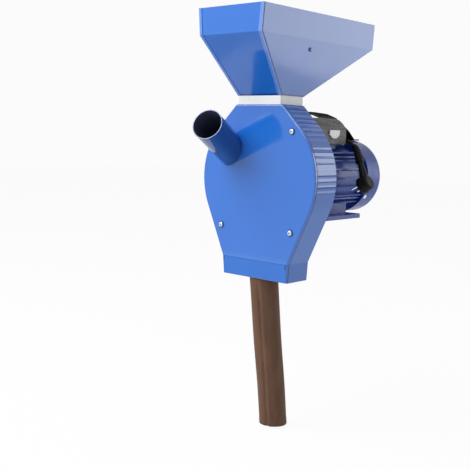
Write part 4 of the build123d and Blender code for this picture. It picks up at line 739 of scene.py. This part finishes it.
def make_plug_relief():
    """Ribbed strain relief round the cord where it enters the plug."""
    mesh = bmesh.new()
    wide, narrow = RELIEF_RADIUS
    turns = [2 * pi * side / RELIEF_SIDES for side in range(RELIEF_SIDES)]
    rings = []
    for ring in range(RELIEF_RINGS + 1):
        share = ring / RELIEF_RINGS
        centre, along = tail_end(share)
        rib = RELIEF_RIB * cos(2 * pi * RELIEF_RIBS * share)
        radius = narrow + (wide - narrow) * share ** RELIEF_TAPER + rib
        across = along.cross(Vector((0, 1, 0))).normalized()
        beside = along.cross(across)
        spokes = [(across * cos(turn) + beside * sin(turn)) * radius for turn in turns]
        rings.append([mesh.verts.new(mill(*(centre + spoke))) for spoke in spokes])
    join_rings(mesh, rings)
    mesh.faces.new(rings[0])
    mesh.faces.new(rings[-1])
    return piece_from(mesh, "plug_relief", "black_plastic", smooth=True)


def make_cord(relief):
    """The whole cord as one smooth line: lead, coil and tail to the plug."""
    route = LEAD_ROUTE + coil_points() + TAIL_ROUTE
    curve = bpy.data.curves.new("power_cord", "CURVE")
    curve.dimensions = "3D"
    curve.bevel_depth = CORD_DIAMETER / 2
    curve.bevel_resolution = 5
    curve.resolution_u = 6
    curve.use_fill_caps = True
    spline = curve.splines.new("NURBS")
    spline.points.add(len(route) - 1)
    for control, place in zip(spline.points, route):
        control.co = (*mill(*place), 1)
    spline.order_u = 3
    spline.use_endpoint_u = True
    cord = add_object("power_cord", curve)
    dress(cord, "cord_rubber")
    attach(cord, "frame")
    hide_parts("cord_lead", "cord_coil", "cord_tail")


# ---------------------------------------------------------------- meal sleeve
# Its lengths are in the millimetres of mill(), but for SLEEVE_FLAT.
SLEEVE_TOP_Z = -159.4
SLEEVE_Y = 32.0
SLEEVE_NECK = 24.0
SLEEVE_DROP = 306.0
SLEEVE_LENGTH = SLEEVE_NECK + SLEEVE_DROP
SLEEVE_LEAN = radians(9.6)          # to the rear, below the neck
SLEEVE_BACK_SLOPE = tan(SLEEVE_LEAN)
SLEEVE_SIDE_SLOPE = tan(radians(1.0))
SLEEVE_EASE = 6.0                   # softness of the turn from the neck into the lean
SLEEVE_RADIUS = 27.7
SLEEVE_SLACK = 0.4                  # that the outside lies within the radius
SLEEVE_WALL = 1.2
SLEEVE_ROWS = 72
SLEEVE_COLUMNS = 96
CLAMPED = 14.0                      # depth down to which the sleeve is held round
LOOSENING = 60.0                    # further depth over which its folds grow
CREASE_ANGLE = radians(-76)         # round the sleeve from +X, the pressed fold beside its front
CREASE = (2.2, 0.10)                # its depth, and its half width in radians
RIDGE = (0.7, 0.12)                 # the same of the ridge beside it
RIDGE_AWAY = 0.24                   # radians from the crease to the ridge
CORNERS = 4                         # that the loose sleeve softly has
CORNER_HEIGHT = 0.5
CORNER_TURN = 0.5                   # radians by which they lie short of the axes
DRAWN_IN = 0.35                     # that the loose sleeve lies further in
RIPPLES = ((0.35, 3, 0.021), (0.25, 5, -0.034))     # height, folds round, and turn for each unit of depth
HEM_HEIGHT = 13.0
HEM_THICKNESS = 0.35


def sleeve_centre(depth):
    """Centre of the sleeve at a depth below its top: an upright neck, then leaning back."""
    below = max(0.0, depth - SLEEVE_NECK)
    ease = below * below / (below + SLEEVE_EASE)
    return -ease * SLEEVE_SIDE_SLOPE, SLEEVE_Y + ease * SLEEVE_BACK_SLOPE, SLEEVE_TOP_Z - depth


def swell(size, width, away):
    """Height of a smooth swelling of the given size, away from its crest."""
    return size * exp(-((away / width) ** 2))


def sleeve_radius(angle, depth):
    """Outer radius round the sleeve: round on the spigot, softly squared with a pressed fold lower down."""
    loose = min(1.0, max(0.0, (depth - CLAMPED) / LOOSENING))
    square = CORNER_HEIGHT * cos(CORNERS * (angle + CORNER_TURN)) - DRAWN_IN
    ripple = sum(height * sin(folds * angle + turn * depth) for height, folds, turn in RIPPLES)
    away = (angle - CREASE_ANGLE + pi) % (2 * pi) - pi
    crease = swell(*RIDGE, away - RIDGE_AWAY) - swell(*CREASE, away)
    hem = HEM_THICKNESS if depth > SLEEVE_LENGTH - HEM_HEIGHT else 0.0
    return SLEEVE_RADIUS - SLEEVE_SLACK + loose * (square + ripple + crease) + hem


def sleeve_ring(mesh, depth, wall):
    """Vertices round the sleeve at a depth, a wall's thickness in from its outside."""
    x, y, z = sleeve_centre(depth)
    ring = []
    for column in range(SLEEVE_COLUMNS):
        angle = 2 * pi * column / SLEEVE_COLUMNS
        reach = sleeve_radius(angle, depth) - wall
        ring.append(mesh.verts.new(mill(x + reach * cos(angle), y + reach * sin(angle), z)))
    return ring


def make_sleeve():
    """Open cloth tube with an outer and an inner skin, hemmed at its mouth."""
    mesh = bmesh.new()
    depths = [SLEEVE_LENGTH * row / SLEEVE_ROWS for row in range(SLEEVE_ROWS + 1)]
    outer, inner = ([sleeve_ring(mesh, depth, wall) for depth in depths] for wall in (0.0, SLEEVE_WALL))
    join_rings(mesh, outer[::-1] + inner + outer[-1:])
    sleeve = piece_from(mesh, "meal_sleeve", "sleeve_cloth", smooth=True)
    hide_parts("discharge_sleeve")


# ---------------------------------------------------------------- surroundings
WORLD_DIFFUSE = 0.17
WHITE = 0.965                       # surroundings as the camera sees them
FLOOR_GAP = 2 * MM
FLOOR_REACH = 9.0
FLOOR_GREY = (0.88, 0.88, 0.88, 1)
FLOOR_GLOW = 0.95                   # share of plain white in the floor as it is seen, the rest takes shadow
CARD_GREY = (0.50, 0.51, 0.53)
CARD_ROUGHNESS = 0.8
CARD_LEFT, CARD_RIGHT = -1500, -450     # like the rest of the card in the millimetres of mill()
CARD_FRONT, CARD_BACK = -1300, -235
BITE_CENTRE_X = -600                # of an oval bite out of the card's back edge
BITE_REACH = (150, 84)
BITE_STEPS = 16


def seen_directly(tree):
    """1 for camera, glossy and transmission rays, 0 for the rest."""
    path = tree.nodes.new("ShaderNodeLightPath")
    seen = path.outputs["Is Camera Ray"]
    for kind in ("Is Glossy Ray", "Is Transmission Ray"):
        either = tree.nodes.new("ShaderNodeMath")
        either.operation = "MAXIMUM"
        tree.links.new(seen, either.inputs[0])
        tree.links.new(path.outputs[kind], either.inputs[1])
        seen = either.outputs["Value"]
    return seen


def make_world():
    """White surroundings that light the object only a little."""
    world = bpy.data.worlds.new("studio")
    world.use_nodes = True
    tree = world.node_tree
    background = tree.nodes["Background"]
    background.inputs["Color"].default_value = (1, 1, 1, 1)
    ranged = tree.nodes.new("ShaderNodeMapRange")
    ranged.inputs["To Min"].default_value = WORLD_DIFFUSE
    ranged.inputs["To Max"].default_value = WHITE
    tree.links.new(seen_directly(tree), ranged.inputs["Value"])
    tree.links.new(ranged.outputs["Result"], background.inputs["Strength"])
    bpy.context.scene.world = world


def floor_material():
    """Matte that glows white to the eye and in gloss, so that its shadow is pale."""
    material = bpy.data.materials.new("floor")
    material.use_nodes = True
    tree = material.node_tree
    tree.nodes.remove(tree.nodes["Principled BSDF"])
    matte = tree.nodes.new("ShaderNodeBsdfDiffuse")
    matte.inputs["Color"].default_value = FLOOR_GREY
    glow = tree.nodes.new("ShaderNodeEmission")
    glow.inputs["Color"].default_value = (1, 1, 1, 1)
    share = tree.nodes.new("ShaderNodeMath")
    share.operation = "MULTIPLY"
    share.inputs[1].default_value = FLOOR_GLOW
    blend = tree.nodes.new("ShaderNodeMixShader")
    tree.links.new(seen_directly(tree), share.inputs[0])
    tree.links.new(share.outputs["Value"], blend.inputs["Fac"])
    tree.links.new(matte.outputs["BSDF"], blend.inputs[1])
    tree.links.new(glow.outputs["Emission"], blend.inputs[2])
    tree.links.new(blend.outputs["Shader"], tree.nodes["Material Output"].inputs["Surface"])
    return material


def lay_flat(name, corners, gap, material):
    """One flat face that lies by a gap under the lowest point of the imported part."""
    height = cad_box[0][2] - gap
    data = bpy.data.meshes.new(name)
    data.from_pydata([(x, y, height) for x, y in corners], [], [tuple(range(len(corners)))])
    data.materials.append(material)
    return add_object(name, data)


def make_floor():
    """Pale floor just under the sleeve."""
    corners = [(x * FLOOR_REACH, y * FLOOR_REACH) for x, y in ((-1, -1), (1, -1), (1, 1), (-1, 1))]
    floor = lay_flat("floor", corners, FLOOR_GAP, floor_material())


def make_floor_card():
    """Grey card on the floor that shows only in gloss, in the cover's skirt and the hopper's front."""
    steps = [pi * step / BITE_STEPS for step in range(BITE_STEPS + 1)]
    wide, deep = BITE_REACH
    outline = [(BITE_CENTRE_X + wide * cos(a), CARD_BACK - deep * sin(a)) for a in steps]
    outline += [(CARD_LEFT, CARD_BACK), (CARD_LEFT, CARD_FRONT), (CARD_RIGHT, CARD_FRONT)]
    corners = [mill(x, y, 0).xy for x, y in outline]
    grey = Finish("floor_card", CARD_GREY, CARD_ROUGHNESS)
    card = lay_flat("floor_card", corners, FLOOR_GAP / 2, grey.material)
    card.visible_camera = card.visible_shadow = card.visible_diffuse = False


# ---------------------------------------------------------------- lamps
KEY_AIM = mill(0, 60, 40)
KEY_DIRECTION = Vector((-0.32, -0.70, 0.72))
KEY_DISTANCE = 3.0
KEY_SIZE = 2.6
KEY_POWER = 124.0
SIDE_AIM = mill(0, 60, 0)
SIDE_DIRECTION = Vector((0.665, 0.747, 0))     # where the mill's +X faces mirror the camera
SIDE_DISTANCE = 1.8
SIDE_WIDTH = 0.95
SIDE_BOXES = {                      # lowest and highest edge about the shaft, and power of each square metre
    "top_box": (0.10, 0.85, 7.8),
    "level_box": (-0.10, 0.10, 6.6),
    "low_box": (-0.47, -0.10, 2.3),
}


def make_light(name, place, direction, size, power):
    """Soft rectangular lamp at a place, shining against the direction in which it stands from the mill."""
    lamp = bpy.data.lights.new(name, "AREA")
    lamp.shape = "RECTANGLE"
    lamp.size, lamp.size_y = size
    lamp.energy = power
    light = add_object(name, lamp)
    turn = direction.to_track_quat("Z", "Y").to_matrix()
    light.matrix_world = Matrix.Translation(place) @ turn.to_4x4()
    light.visible_camera = False


def make_lamps():
    """A large key lamp from the upper left, and at the right a stack of three boxes that the side mirrors."""
    place = KEY_AIM + KEY_DIRECTION.normalized() * KEY_DISTANCE
    make_light("key", place, KEY_DIRECTION, (KEY_SIZE, KEY_SIZE), KEY_POWER)
    for name, (low, high, brightness) in SIDE_BOXES.items():
        place = SIDE_AIM + SIDE_DIRECTION * SIDE_DISTANCE + Vector((0, 0, (low + high) / 2))
        size = (SIDE_WIDTH, high - low)
        make_light(name, place, SIDE_DIRECTION, size, brightness * size[0] * size[1])


# ---------------------------------------------------------------- the scene
make_camera()
make_world()
make_floor()
make_floor_card()
make_lamps()
dress_cad_nodes()
ease_edges()
make_screw_recesses()
make_cord(make_plug_relief())
make_sleeve()
bpy.context.scene.view_settings.view_transform = "Standard"
